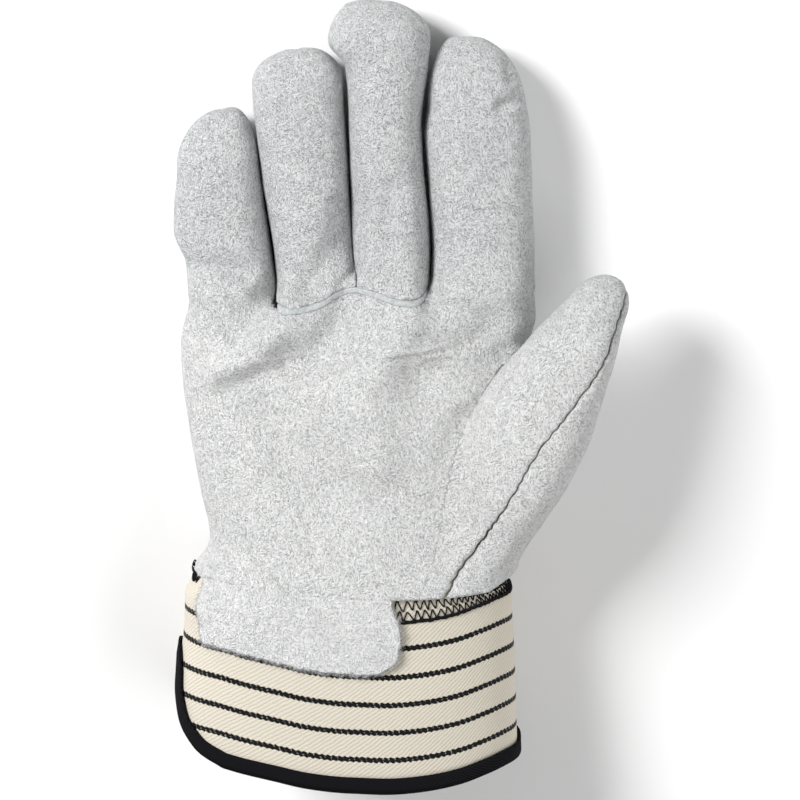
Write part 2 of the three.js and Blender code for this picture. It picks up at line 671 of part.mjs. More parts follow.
// Edge of the canvas as places round it: down one side of the slit, along the hem and up the other side.
function cuffEdge() {
  const side = SLIT_ROWS.map((row) => ({ turn: row.turn * SLIT_TURN, lift: row.lift * SLIT_DEPTH }));
  const hem = Array.from({ length: HAND_SIDES }, (_, i) => ({ turn: i / HAND_SIDES, lift: 0 }))
    .filter(({ turn }) => turn > SLIT_TURN && turn < 1 - SLIT_TURN);
  const farSide = side.slice(1).reverse().map(({ turn, lift }) => ({ turn: 1 - turn, lift }));
  const placed = ({ turn, lift }) => ({ turn, y: lift - CUFF_LENGTH + sway(turn) });
  return [...side, ...hem, ...farSide].map(placed);
}
const edge = cuffEdge();

// Canvas tube: each column runs from the tuck inside the leather down to the cuff's edge.
function cuffCanvas() {
  return loft(
    edge.map(({ turn, y }) => {
      const top = CUFF_TUCK + wristEdge(cuffPoint(turn, 0, 0).x);
      const drops = CANVAS_DROPS.map((drop) => THREE.MathUtils.lerp(top, y, drop));
      const column = (out) => drops.map((place) => cuffPoint(turn, place, out));
      return [...column(CANVAS / 2), ...column(-CANVAS / 2).reverse()];
    }),
    true,
  );
}

// A point on one side of the canvas, a distance away from a place on it in a direction along its surface.
function alongCanvas(turn, y, out, direction, distance) {
  const reach = 0.5 / HAND_SIDES;
  const across = cuffPoint(turn + reach, y, 0).sub(cuffPoint(turn - reach, y, 0)).divideScalar(2 * reach);
  const along = cuffPoint(turn, y + 1, 0).sub(cuffPoint(turn, y, 0));
  const [aa, ab, bb] = [across.dot(across), across.dot(along), along.dot(along)];
  const [a, b] = [direction.dot(across) * distance, direction.dot(along) * distance];
  const scale = aa * bb - ab * ab;
  return cuffPoint(turn + (a * bb - b * ab) / scale, y + (b * aa - a * ab) / scale, out);
}

// Tape folded over the canvas edge: a U in section, following the edge as a closed loop.
function cuffBinding() {
  const place = (i) => {
    const { turn, y } = edge[(i + edge.length) % edge.length];
    return cuffPoint(turn, y, 0);
  };
  const innerHalf = CANVAS / 2 + TAPE_GAP;
  const outerHalf = innerHalf + TAPE;
  return loft(
    edge.map(({ turn, y }, i) => {
      const along = place(i + 1).sub(place(i - 1)).normalize();
      const out = cuffPoint(turn, y, 1).sub(cuffPoint(turn, y, -1)).normalize();
      const away = new THREE.Vector3().crossVectors(along, out).normalize();
      const leg = (side) => alongCanvas(turn, y, side, away, -TAPE_WIDTH);
      const fold = (side, past) => cuffPoint(turn, y, side).addScaledVector(away, past);
      return [
        leg(outerHalf),
        fold(outerHalf, TAPE_GAP),
        fold(innerHalf, TAPE_GAP + TAPE),
        fold(-innerHalf, TAPE_GAP + TAPE),
        fold(-outerHalf, TAPE_GAP),
        leg(-outerHalf),
        leg(-innerHalf),
        fold(-innerHalf, TAPE_GAP),
        fold(innerHalf, TAPE_GAP),
        leg(innerHalf),
      ];
    }),
    true,
  );
}

// Leather patch that lies over the cuff on the palm side.
function cuffPatch() {
  const low = CANVAS / 2 + SEAM_GAP;
  return loft(
    Array.from({ length: PATCH_COLUMNS + 1 }, (_, i) => {
      const column = (out) =>
        PATCH_ROWS.map((row) => {
          const turn = THREE.MathUtils.lerp(row.from, row.to, i / PATCH_COLUMNS);
          const top = wristEdge(cuffPoint(turn, 0, out).x) - SEAM_GAP;
          return cuffPoint(turn, THREE.MathUtils.lerp(top, sway(turn) - PATCH_LENGTH, row.along), out);
        });
      return [...column(low + LEATHER), ...column(low).reverse()];
    }),
  );
}

// Finishes
const matte = (color, roughness) => new THREE.MeshStandardMaterial({ color, roughness, metalness: 0 });
const suede = () => matte(0xd9dbda, 0.95);
const drill = () => matte(0xe6dec9, 0.9);
const tape = () => matte(0x151517, 0.8);

const pieces = {
  palm_panel: [palmPanel(), suede()],
  ring_finger_front: [fingerFront(tubes.ring, baseLeft, baseSplit), suede()],
  middle_finger_front: [fingerFront(tubes.middle, baseSplit, baseRight), suede()],
  base_welt: [baseWelt(), suede()],
  back_panel: [backPanel(), suede()],
  thumb_front: [thumbFront(), suede()],
  thumb_back: [thumbBack(), suede()],
  cuff_patch: [cuffPatch(), suede()],
  cuff_canvas: [cuffCanvas(), drill()],
  cuff_binding: [cuffBinding(), tape()],
};

// The part's origin is the middle of its footprint on the table.
const glove = new THREE.Group();
for (const [name, [solid, material]] of Object.entries(pieces)) {
  const mesh = new THREE.Mesh(geometryOf(solid), material);
  mesh.name = name;
  glove.add(mesh);
}
const extent = new THREE.Box3().setFromObject(glove);
const footprint = extent.getCenter(new THREE.Vector3()).setZ(extent.min.z);
for (const mesh of glove.children) mesh.position.sub(footprint);

export default glove;
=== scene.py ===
"""Looks of a right-hand rigger glove of split leather with a striped drill cuff.

The glove lies on its back with the palm up. The leather is worked out as a field of distances
from the hand's, fingers' and thumb's own sections, cut along the real seams and skinned into fine
meshes. The cuff, its tape, the patch and the threads are laid over the cuff's surface. Lengths
inside the classes are in millimetres in the glove's pattern frame, and meshes are made in metres
in the frame of the solids.
"""

import logging
import math
from dataclasses import dataclass, field
from enum import Enum

import bpy
import numpy as np
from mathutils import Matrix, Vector

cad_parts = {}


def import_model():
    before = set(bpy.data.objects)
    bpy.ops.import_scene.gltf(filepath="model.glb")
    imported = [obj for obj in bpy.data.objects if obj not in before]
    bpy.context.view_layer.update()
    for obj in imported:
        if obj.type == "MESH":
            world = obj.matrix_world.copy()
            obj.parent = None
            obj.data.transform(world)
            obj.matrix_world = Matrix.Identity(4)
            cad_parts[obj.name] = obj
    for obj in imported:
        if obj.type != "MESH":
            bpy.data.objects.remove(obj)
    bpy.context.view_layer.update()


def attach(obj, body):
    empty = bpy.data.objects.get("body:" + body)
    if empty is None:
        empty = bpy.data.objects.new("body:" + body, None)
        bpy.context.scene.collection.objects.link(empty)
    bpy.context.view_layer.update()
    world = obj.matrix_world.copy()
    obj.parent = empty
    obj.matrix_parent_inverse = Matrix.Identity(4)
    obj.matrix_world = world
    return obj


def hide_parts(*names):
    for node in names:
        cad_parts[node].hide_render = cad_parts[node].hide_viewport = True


log = logging.getLogger("glove")

PATTERN_ORIGIN = np.array([15.475, 62.945, 0.0])
MILLIMETRE = 0.001
SIDES = "along left right top"
SOFTENING = (0.25, 0.5, 0.25)

Array = np.ndarray
Skin = tuple[Array, Array]
Cut = tuple[Array, float | Array]
Colour = tuple[float, float, float, float]
Place = tuple[float, float, float]


class Slot(Enum):
    """Material slots of the record."""

    SUEDE = "suede"
    DRILL = "drill"
    TAPE = "tape"


class Digit(Enum):
    """The four fingers, from the little one."""

    LITTLE = "little"
    RING = "ring"
    MIDDLE = "middle"
    INDEX = "index"


class Profile:
    """Smooth curve through a column of values that never overshoots them."""

    def __init__(self, places: Array, values: Array) -> None:
        """Works out the slope at each place.

        Args:
            places: Rising places of the knots.
            values: Value at each place.
        """
        self.places = np.asarray(places, float)
        self.values = np.asarray(values, float)
        secants = np.diff(self.values) / np.diff(self.places)
        before, after = secants[:-1], secants[1:]
        agree = before * after > 0
        total = np.where(agree, before + after, 1.0)
        inner = np.where(agree, 2 * before * after / total, 0.0)
        self.slopes = np.concatenate(([secants[0]], inner, [secants[-1]]))

    def __call__(self, at: Array | float) -> Array:
        """Reads the curve.

        Args:
            at: Places to read, held inside the first and last knot.

        Returns:
            The values there.
        """
        at = np.clip(at, self.places[0], self.places[-1])
        i = np.clip(np.searchsorted(self.places, at, "right") - 1, 0, len(self.places) - 2)
        step = self.places[i + 1] - self.places[i]
        t = (at - self.places[i]) / step
        rise = self.values[i + 1] - self.values[i]
        start = step * self.slopes[i] * t * (1 - t) ** 2
        finish = step * self.slopes[i + 1] * t * t * (1 - t)
        return self.values[i] + start + rise * t * t * (3 - 2 * t) - finish


class Table:
    """Rows of chosen numbers with named columns."""

    def __init__(self, names: str, *rows: tuple[float, ...]) -> None:
        """Keeps the rows.

        Args:
            names: The columns' names, parted by spaces; the first is the place.
            rows: One tuple per row.
        """
        self.names = names.split()
        self.rows = np.array(rows, float)

    def column(self, name: str) -> Array:
        """One column's numbers."""
        return self.rows[:, self.names.index(name)]

    def profile(self, name: str, place_scale: float = 1.0, value_scale: float = 1.0) -> Profile:
        """Smooth curve through a column.

        Args:
            name: The column.
            place_scale: Length of one unit of the first column.
            value_scale: Length of one unit of the column.

        Returns:
            The curve, read by place.
        """
        return Profile(self.rows[:, 0] * place_scale, self.column(name) * value_scale)


HAND_TABLE = Table(
    SIDES,
    (0.0, -0.474, 0.463, 1.0),
    (0.143, -0.414, 0.472, 0.921),
    (0.327, -0.44, 0.483, 0.868),
    (0.5, -0.466, 0.497, 0.825),
    (0.673, -0.483, 0.506, 0.763),
    (0.816, -0.487, 0.513, 0.693),
    (0.918, -0.472, 0.514, 0.632),
    (1.0, -0.457, 0.513, 0.57),
)
CUFF_TABLE = Table(
    SIDES,
    (0.0, -0.545, 0.504, 1.125),
    (0.4, -0.537, 0.497, 1.09),
    (0.7, -0.513, 0.489, 1.045),
    (0.92, -0.502, 0.478, 1.012),
)
FINGER_TABLES = {
    Digit.LITTLE: Table(
        SIDES,
        (-0.3, -0.36, 0.36, 1.12),
        (0.0, -0.49, 0.445, 1.2),
        (0.14, -0.49, 0.435, 1.08),
        (0.34, -0.59, 0.41, 1.02),
        (0.5, -0.56, 0.385, 1.0),
        (0.68, -0.5, 0.375, 0.98),
        (1.0, -0.48, 0.375, 0.9),
    ),
    Digit.RING: Table(
        SIDES,
        (-0.25, -0.4, 0.4, 1.22),
        (0.0, -0.46, 0.46, 1.2),
        (0.16, -0.485, 0.455, 1.06),
        (0.37, -0.52, 0.47, 1.03),
        (0.58, -0.56, 0.48, 1.0),
        (0.83, -0.58, 0.49, 0.96),
        (1.0, -0.58, 0.485, 0.9),
    ),
    Digit.MIDDLE: Table(
        SIDES,
        (-0.22, -0.4, 0.4, 1.22),
        (0.0, -0.462, 0.456, 1.2),
        (0.2, -0.5, 0.5, 1.06),
        (0.54, -0.475, 0.46, 1.0),
        (0.78, -0.46, 0.59, 0.96),
        (0.87, -0.66, 0.63, 0.94),
        (1.0, -0.66, 0.62, 0.9),
    ),
    Digit.INDEX: Table(
        SIDES,
        (-0.25, -0.36, 0.36, 1.16),
        (-0.1, -0.48, 0.49, 1.24),
        (0.0, -0.5, 0.485, 1.24),
        (0.18, -0.468, 0.515, 1.1),
        (0.4, -0.49, 0.53, 1.04),
        (0.62, -0.503, 0.52, 1.0),
        (0.76, -0.46, 0.475, 0.96),
        (1.0, -0.455, 0.45, 0.9),
    ),
}
THUMB_TABLE = Table(
    "along left right seam half lift",
    (0.0, -0.33, 0.24, -0.385, 0.94, 0.76),
    (0.136, -0.45, 0.325, -0.474, 1.08, 0.8),
    (0.236, -0.56, 0.36, -0.55, 1.12, 0.88),
    (0.382, -0.625, 0.402, -0.61, 1.0, 0.973),
    (0.5, -0.6, 0.405, -0.59, 0.89, 1.0),
    (0.618, -0.52, 0.365, -0.515, 0.81, 1.0),
    (0.745, -0.423, 0.3, -0.43, 0.73, 0.973),
    (0.873, -0.29, 0.23, -0.34, 0.6, 0.95),
    (1.0, -0.2, 0.2, -0.3, 0.45, 0.93),
)
THUMB_SEAM_TABLE = Table(
    "along across",
    (-0.2, -0.2),
    (-0.018, -0.17),
    (0.11, -0.1),
    (0.27, -0.06),
    (0.445, -0.02),
    (0.6, 0.08),
    (0.78, 0.174),
    (0.95, 0.133),
    (1.2, 0.12),
)
WELT_TABLE = Table(
    "across along",
    (-0.21, 0.957),
    (-0.152, 0.954),
    (-0.09, 0.967),
    (-0.035, 0.996),
    (0.02, 1.011),
    (0.07, 1.005),
    (0.13, 0.985),
    (0.18, 0.98),
    (0.222, 1.008),
)
SLIT_TABLE = Table(
    "turn lift",
    (0.0, 1.0),
    (0.1, 0.98),
    (0.2, 0.86),
    (0.27, 0.65),
    (0.44, 0.33),
    (0.59, 0.2),
    (0.75, 0.09),
    (1.0, 0.0),
)
SWAY_TABLE = Table(
    "turn rise",
    (0.0, 0.96),
    (0.06, 1.0),
    (0.12, 0.96),
    (0.16, 0.76),
    (0.19, 0.56),
    (0.22, 0.27),
    (0.25, 0.08),
    (0.28, 0.0),
    (0.31, 0.06),
    (0.35, 0.23),
    (0.39, 0.47),
    (0.43, 0.58),
    (0.5, 0.48),
    (0.75, 0.5),
    (1.0, 0.96),
)
WRIST_EDGE_TABLE = Table(
    "across rise",
    (-0.47, 0.3),
    (-0.38, 0.48),
    (-0.24, 0.4),
    (-0.12, 0.25),
    (0.0, 0.12),
    (0.14, 0.04),
    (0.28, 0.0),
    (0.38, 0.03),
    (0.43, 0.3),
    (0.47, 0.5),
)
PATCH_TABLE = Table(
    "along start finish",
    (0.0, 0.068, 0.28),
    (0.2, 0.075, 0.284),
    (0.5, 0.083, 0.288),
    (0.78, 0.089, 0.286),
    (0.93, 0.092, 0.274),
    (1.0, 0.096, 0.262),
)


@dataclass(frozen=True)
class Fold:
    """A soft valley or ridge pressed into the palm side along a bent line."""

    start: tuple[float, float]
    by: tuple[float, float]
    finish: tuple[float, float]
    depth: float
    reach: float

    def points(self, width: float, length: float, count: int = 32) -> Array:
        """Points of the line in millimetres.

        Args:
            width: The palm's width, which the first numbers are shares of.
            length: The hand's length, which the second numbers are shares of.
            count: How many points.

        Returns:
            The points, one row each.
        """
        t = np.linspace(0, 1, count)[:, None]
        a, b, c = (np.array(p) * (width, length) for p in (self.start, self.by, self.finish))
        return a * (1 - t) ** 2 + 2 * b * t * (1 - t) + c * t**2


FOLDS = (
    Fold((-0.191, 0.963), (-0.250, 0.863), (-0.382, 0.742), -4.6, 6.5),
    Fold((-0.015, 0.998), (-0.021, 0.839), (-0.166, 0.762), 8.6, 6.0),
    Fold((-0.127, 0.775), (-0.233, 0.730), (-0.345, 0.682), 4.4, 4.6),
    Fold((-0.226, 0.621), (-0.171, 0.511), (-0.070, 0.373), 8.0, 10),
    Fold((0.036, 0.711), (0.058, 0.580), (0.075, 0.470), -3.6, 9.0),
    Fold((0.041, 0.672), (0.108, 0.863), (0.237, 1.005), -3.2, 6.0),
    Fold((0.416, 0.790), (0.310, 0.769), (0.203, 0.721), 6.0, 6.0),
    Fold((0.383, 0.880), (0.332, 0.839), (0.276, 0.783), 6.0, 7.0),
    Fold((-0.231, 1.010), (-0.254, 0.927), (-0.324, 0.875), 5.5, 5.0),
    Fold((-0.001, 1.265), (-0.029, 1.110), (-0.115, 1.029), 7.5, 5.5),
    Fold((-0.462, 1.083), (-0.383, 1.097), (-0.299, 1.066), 4.0, 2.8),
    Fold((-0.472, 0.851), (-0.410, 0.844), (-0.337, 0.823), 2.2, 3.4),
    Fold((0.119, 1.342), (0.096, 1.222), (0.102, 1.110), 2.4, 4.5),
    Fold((-0.030, 1.919), (0.102, 2.046), (0.208, 1.862), 5.0, 1.4),
    Fold((-0.249, 1.797), (-0.151, 1.868), (-0.056, 1.797), 5.0, 1.4),
    Fold((0.348, 1.876), (0.425, 1.851), (0.445, 1.716), 6.0, 1.5),
    Fold((0.483, 1.667), (0.452, 1.646), (0.417, 1.632), 5.0, 1.8),
    Fold((0.233, 1.677), (0.296, 1.684), (0.370, 1.674), 0.5, 3.0),
    Fold((0.331, 0.586), (0.325, 0.482), (0.320, 0.345), 2.6, 6.0),
)


def smooth_least(a: Array, b: Array, reach: float | Array) -> Array:
    """Smaller of two fields with a fillet where they meet.

    Args:
        a: First field.
        b: Second field.
        reach: Size of the fillet.

    Returns:
        The joined field.
    """
    near = np.maximum(reach - np.abs(a - b), 0.0)
    return np.minimum(a, b) - near * near / (4 * reach)


def smooth_most(a: Array, b: Array, reach: float | Array) -> Array:
    """Greater of two fields with a rounded edge where they meet."""
    return -smooth_least(-a, -b, reach)


def eased(value: Array, low: float, high: float) -> Array:
    """Share that rises smoothly from 0 at low to 1 at high."""
    t = np.clip((value - low) / (high - low), 0, 1)
    return t * t * (3 - 2 * t)


def unit(vectors: Array) -> Array:
    """Vectors of length 1 in the same directions, with coordinates on the last axis."""
    return vectors / np.linalg.norm(vectors, axis=-1, keepdims=True)


def round_end(past: Array, reach: float) -> Array:
    """Share of the full size left on a round end, by the distance past the rounding's start."""
    t = np.clip(past / reach, 0, 1)
    return np.sqrt(np.maximum(1 - t * t, 0))


@dataclass(frozen=True)
class DigitSize:
    """Sizes of one finger in millimetres and degrees."""

    length: float
    width: float
    height: float
    lean: float
    tip: float
    tip_shift: float


@dataclass(frozen=True)
class GloveSizes:
    """Driving sizes of the glove in millimetres and degrees."""

    palm_width: float = 117.0
    hand_length: float = 98.0
    hand_height: float = 57.0
    knuckle_round: float = 12.0
    knuckle_width: float = 0.6
    root_round: float = 10.0
    seam_shift: float = 6.0
    middle_share: float = 0.47
    squareness: float = 2.35
    leather: float = 1.8
    canvas: float = 1.1
    tape: float = 0.9
    seam_gap: float = 0.35
    finger_gap: float = 0.9
    tape_gap: float = 0.5
    tuck_gap: float = 0.8
    cuff_length: float = 64.4
    cuff_tuck: float = 5.0
    cuff_sway: float = 7.3
    tape_width: float = 4.6
    slit_depth: float = 31.0
    slit_turn: float = 0.135
    patch_length: float = 24.6
    finger_squareness: float = 2.45
    thumb_length: float = 110.0
    thumb_width: float = 39.0
    thumb_height: float = 37.0
    thumb_lift: float = 37.5
    thumb_lean: float = 24.4
    thumb_tip: float = 9.0
    thumb_slant: float = 38.0
    seam_steepness: float = 82.0
    seam_depth: float = 5.0
    thumb_root: tuple[float, float] = (0.352, 0.051)
    welt_width: float = 2.0
    welt_proud: float = 0.1
    tip_drop: float = 6.0
    fingers: dict = field(
        default_factory=lambda: {
            Digit.LITTLE: DigitSize(58.9, 31, 26, 4.2, 18, 3.5),
            Digit.RING: DigitSize(79.0, 28, 27, 4.1, 11.5, 0),
            Digit.MIDDLE: DigitSize(94.8, 25.5, 28, 3, 13, -4),
            Digit.INDEX: DigitSize(83.0, 34, 28, 2.3, 21, -5),
        }
    )


@dataclass(frozen=True)
class Outline:
    """Sides, middle and half height of sections at many places."""

    left: Array
    right: Array
    middle: Array
    half: Array


def section_distance(outline: Outline, across: Array, z: Array, squareness: float) -> Array:
    """Distance from the skin of rounded sections, less than 0 inside.

    Args:
        outline: The sections at the points' places.
        across: How far across the section each point is.
        z: Its height.
        squareness: Exponent of the sections.

    Returns:
        The distances in millimetres.
    """
    side = np.where(across > 0, outline.right, -outline.left)
    side = np.maximum(side, 1e-3)
    half = np.maximum(outline.half, 1e-3)
    rise = z - outline.middle
    u = np.abs(across) / side
    v = np.abs(rise) / half
    reach = (u**squareness + v**squareness) ** (1 / squareness)
    slope_u = (u / np.maximum(reach, 1e-6)) ** (squareness - 1) / side
    slope_v = (v / np.maximum(reach, 1e-6)) ** (squareness - 1) / half
    slope = np.sqrt(slope_u**2 + slope_v**2)
    return (reach - 1) / np.maximum(slope, 1e-4)


class GloveForm:
    """The glove's outer form as fields of distances over points in space."""

    def __init__(self, sizes: GloveSizes) -> None:
        """Reads the tables at real size.

        Args:
            sizes: The driving sizes.
        """
        self.sizes = sizes
        s = sizes
        cuff_y = (CUFF_TABLE.column("along") - 1) * s.cuff_length
        places = np.concatenate((cuff_y, HAND_TABLE.column("along") * s.hand_length))
        self.hand: dict[str, Profile] = {}
        hand_scales = {"left": s.palm_width, "right": s.palm_width, "top": s.hand_height}
        for name, scale in hand_scales.items():
            values = np.concatenate((CUFF_TABLE.column(name), HAND_TABLE.column(name)))
            self.hand[name] = Profile(places, values * scale)
        thumb_scales = dict.fromkeys(("left", "right", "seam"), s.thumb_width)
        thumb_scales |= {"half": s.thumb_height / 2, "lift": s.thumb_lift}
        self.thumb = {
            name: THUMB_TABLE.profile(name, s.thumb_length, scale)
            for name, scale in thumb_scales.items()
        }
        self.axes: dict[Digit, float] = {}
        self.inner_edges: dict[Digit, float] = {}
        self.place_fingers()
        self.welt_line = WELT_TABLE.profile("along", s.palm_width, s.hand_length)
        self.wrist_line = WRIST_EDGE_TABLE.profile("rise", s.palm_width, s.cuff_sway)
        self.sway = SWAY_TABLE.profile("rise", 1.0, s.cuff_sway)
        lean = math.radians(s.thumb_lean)
        self.thumb_forward = np.array([math.sin(lean), math.cos(lean)])
        self.thumb_across = np.array([math.cos(lean), -math.sin(lean)])
        self.thumb_start = np.array(s.thumb_root) * (s.palm_width, s.hand_length)
        self.thumb_seam = THUMB_SEAM_TABLE.profile("across", s.thumb_length, s.thumb_width)

    def place_fingers(self) -> None:
        """Sets the fingers side by side across the end of the palm, from the thumb side."""
        edge = float(self.hand["right"](self.sizes.hand_length))
        for digit in (Digit.INDEX, Digit.MIDDLE, Digit.RING, Digit.LITTLE):
            size, table = self.sizes.fingers[digit], FINGER_TABLES[digit]
            root = table.rows[table.column("along") == 0][0]
            axis = edge - root[2] * size.width
            edge = axis + root[1] * size.width - self.sizes.finger_gap
            self.axes[digit] = axis
            self.inner_edges[digit] = edge + self.sizes.finger_gap / 2

    def hand_outline(self, y: Array) -> Outline:
        """Sections of the hand and cuff at places along Y."""
        top = self.hand["top"](y)
        middle = top * self.sizes.middle_share
        return Outline(self.hand["left"](y), self.hand["right"](y), middle, top - middle)

    def hand_field(self, x: Array, y: Array, z: Array) -> Array:
        """Distance from the hand, rounded off at the fingers' crotches.

        Args:
            x: Points across.
            y: Points along.
            z: Heights.

        Returns:
            Distances, less than 0 inside.
        """
        s = self.sizes
        outline = self.hand_outline(np.minimum(y, s.hand_length))
        start = s.hand_length - s.knuckle_round
        share = round_end(y - start, s.knuckle_round)
        squeeze = s.knuckle_width + (1 - s.knuckle_width) * share
        half = np.maximum(outline.half * share, s.knuckle_round / 3)
        left, right = outline.left * squeeze, outline.right * squeeze
        rounded = Outline(left, right, outline.middle, half)
        body = section_distance(rounded, x, z, s.squareness)
        return np.maximum(body, y - s.hand_length)

    def finger_local(self, digit: Digit, x: Array, y: Array) -> tuple[Array, Array]:
        """Places along and across a finger.

        Args:
            digit: Which finger.
            x: Points across the glove.
            y: Points along it.

        Returns:
            Distance along the finger from the crotch line, and across it.
        """
        size = self.sizes.fingers[digit]
        lean = math.radians(size.lean)
        dx, dy = x - self.axes[digit], y - self.sizes.hand_length
        along = -math.sin(lean) * dx + math.cos(lean) * dy
        across = math.cos(lean) * dx + math.sin(lean) * dy
        return along, across

    def finger_field(self, digit: Digit, x: Array, y: Array, z: Array) -> Array:
        """Distance from one finger, with its rounded tip."""
        size, table = self.sizes.fingers[digit], FINGER_TABLES[digit]
        along, across = self.finger_local(digit, x, y)
        root = table.rows[0, 0] * size.length
        t = np.clip((along - size.length + size.tip) / size.tip, 0, 1)
        root_round = self.sizes.root_round
        t = t + np.clip((root + root_round - along) / root_round, 0, 1)
        share = np.sqrt(np.maximum(1 - t * t, 0))
        left = table.profile("left", size.length, size.width)(along) * share
        right = table.profile("right", size.length, size.width)(along) * share
        top = table.profile("top", size.length, size.height)(along)
        middle = top * self.sizes.middle_share
        shift = size.tip_shift * (1 - share) * (along > 0)
        outline = Outline(left, right, middle, (top - middle) * share)
        body = section_distance(outline, across - shift, z, self.sizes.finger_squareness)
        return np.maximum(body, np.maximum(root - along, along - size.length))

    def thumb_local(self, x: Array, y: Array) -> tuple[Array, Array]:
        """Places along and across the thumb."""
        dx, dy = x - self.thumb_start[0], y - self.thumb_start[1]
        along = dx * self.thumb_forward[0] + dy * self.thumb_forward[1]
        across = dx * self.thumb_across[0] + dy * self.thumb_across[1]
        return along, across

    def thumb_field(self, x: Array, y: Array, z: Array) -> Array:
        """Distance from the thumb, with its rounded tip."""
        s = self.sizes
        along, across = self.thumb_local(x, y)
        share = round_end(along - s.thumb_length + s.thumb_tip, s.thumb_tip)
        outline = Outline(
            self.thumb["left"](along) * share,
            self.thumb["right"](along) * share,
            self.thumb["lift"](along),
            self.thumb["half"](along) * share,
        )
        body = section_distance(outline, across, z, s.squareness)
        return np.maximum(body, np.maximum(-along, along - s.thumb_length))

    def seam_tops(self, fillet: Profile, step: float = 2.0) -> Profile:
        """Height of the skin along the thumb's seam.

        Args:
            fillet: Size of the fillet between hand and thumb, by place along the thumb.
            step: Distance between two samples.

        Returns:
            The heights, by place along the thumb.
        """
        s = self.sizes
        along = np.arange(-0.1 * s.thumb_length, 1.1 * s.thumb_length, step)
        across = self.thumb_seam(along)
        x, y = (
            (start + along * forward + across * sideways)[:, None]
            for start, forward, sideways in zip(
                self.thumb_start, self.thumb_forward, self.thumb_across
            )
        )
        z = np.arange(0.0, 70.0, 0.25)[None, :]
        hand, thumb = self.hand_field(x, y, z), self.thumb_field(x, y, z)
        skin = smooth_least(hand, thumb, fillet(along)[:, None])
        top = np.where(skin < 0, z, 0).max(axis=1)
        top = np.where(top > 0, top, top[top > 0][-1])
        kernel = np.hanning(9) / np.hanning(9).sum()
        return Profile(along, np.convolve(np.pad(top, 4, mode="edge"), kernel, mode="valid"))

    def seam_middle(self, x: Array, y: Array) -> Array:
        """Height of the seam that runs round the glove's sides, lower round the fingertips."""
        s = self.sizes
        at_fingers = s.fingers[Digit.INDEX].height * s.middle_share
        at_hand = self.hand["top"](y) * s.middle_share
        past = eased(y, s.hand_length - s.seam_shift, s.hand_length + s.seam_shift)
        height = at_hand + (at_fingers - at_hand) * past
        for digit in Digit:
            size = s.fingers[digit]
            along, across = self.finger_local(digit, x, y)
            near = np.abs(across) < size.width * 0.62
            start = size.length - size.tip - s.seam_shift
            height = height - s.tip_drop * near * eased(along, start, size.length - 3)
        return height

    def dent(self, x: Array, y: Array) -> Array:
        """Depth that the folds press into the palm at places in plan."""
        spots = np.stack((x.ravel(), y.ravel()), axis=1)
        valleys, ridges = np.zeros(len(spots)), np.zeros(len(spots))
        for fold in FOLDS:
            line = fold.points(self.sizes.palm_width, self.sizes.hand_length)
            away = np.full(len(spots), np.inf)
            for x_at, y_at in line:
                away = np.minimum(away, np.hypot(spots[:, 0] - x_at, spots[:, 1] - y_at))
            pressed = np.abs(fold.depth) * np.exp(-((away / fold.reach) ** 2))
            (valleys if fold.depth > 0 else ridges)[:] += pressed**3
        return (np.cbrt(valleys) - np.cbrt(ridges)).reshape(x.shape)


class LatticeNoise:
    """Smooth random field over a box of points, from a seeded coarse lattice."""

    def __init__(self, seed: int) -> None:
        """Starts the random numbers.

        Args:
            seed: The same seed gives the same field.
        """
        self.random = np.random.default_rng(seed)

    def spread(self, counts: tuple[int, ...], steps: tuple[float, ...]) -> Array:
        """Noise over a grid.

        Args:
            counts: Points of the grid along each axis.
            steps: Points of the grid between two lattice points, along each axis.

        Returns:
            Values of about -1 to 1, one for each point.
        """
        sizes = [int(count / step) + 4 for count, step in zip(counts, steps)]
        values = self.random.uniform(-1, 1, sizes).astype(np.float32)
        for axis, (count, step) in enumerate(zip(counts, steps)):
            at = np.arange(count) / step + 1
            low = at.astype(int)
            t = (at - low).astype(np.float32)
            weights = np.zeros((count, sizes[axis]), np.float32)
            rows = np.arange(count)
            weights[rows, low - 1] = (1 - t) ** 3 / 6
            weights[rows, low] = (3 * t**3 - 6 * t**2 + 4) / 6
            weights[rows, low + 1] = (-3 * t**3 + 3 * t**2 + 3 * t + 1) / 6
            weights[rows, low + 2] = t**3 / 6
            values = np.moveaxis(np.tensordot(weights, values, axes=(1, axis)), 0, axis)
        return values * 2.4


CORNERS = np.array([(i, j, k) for i in (0, 1) for j in (0, 1) for k in (0, 1)])
EDGES = [
    (a, b)
    for a in range(8)
    for b in range(a + 1, 8)
    if np.abs(CORNERS[a] - CORNERS[b]).sum() == 1
]


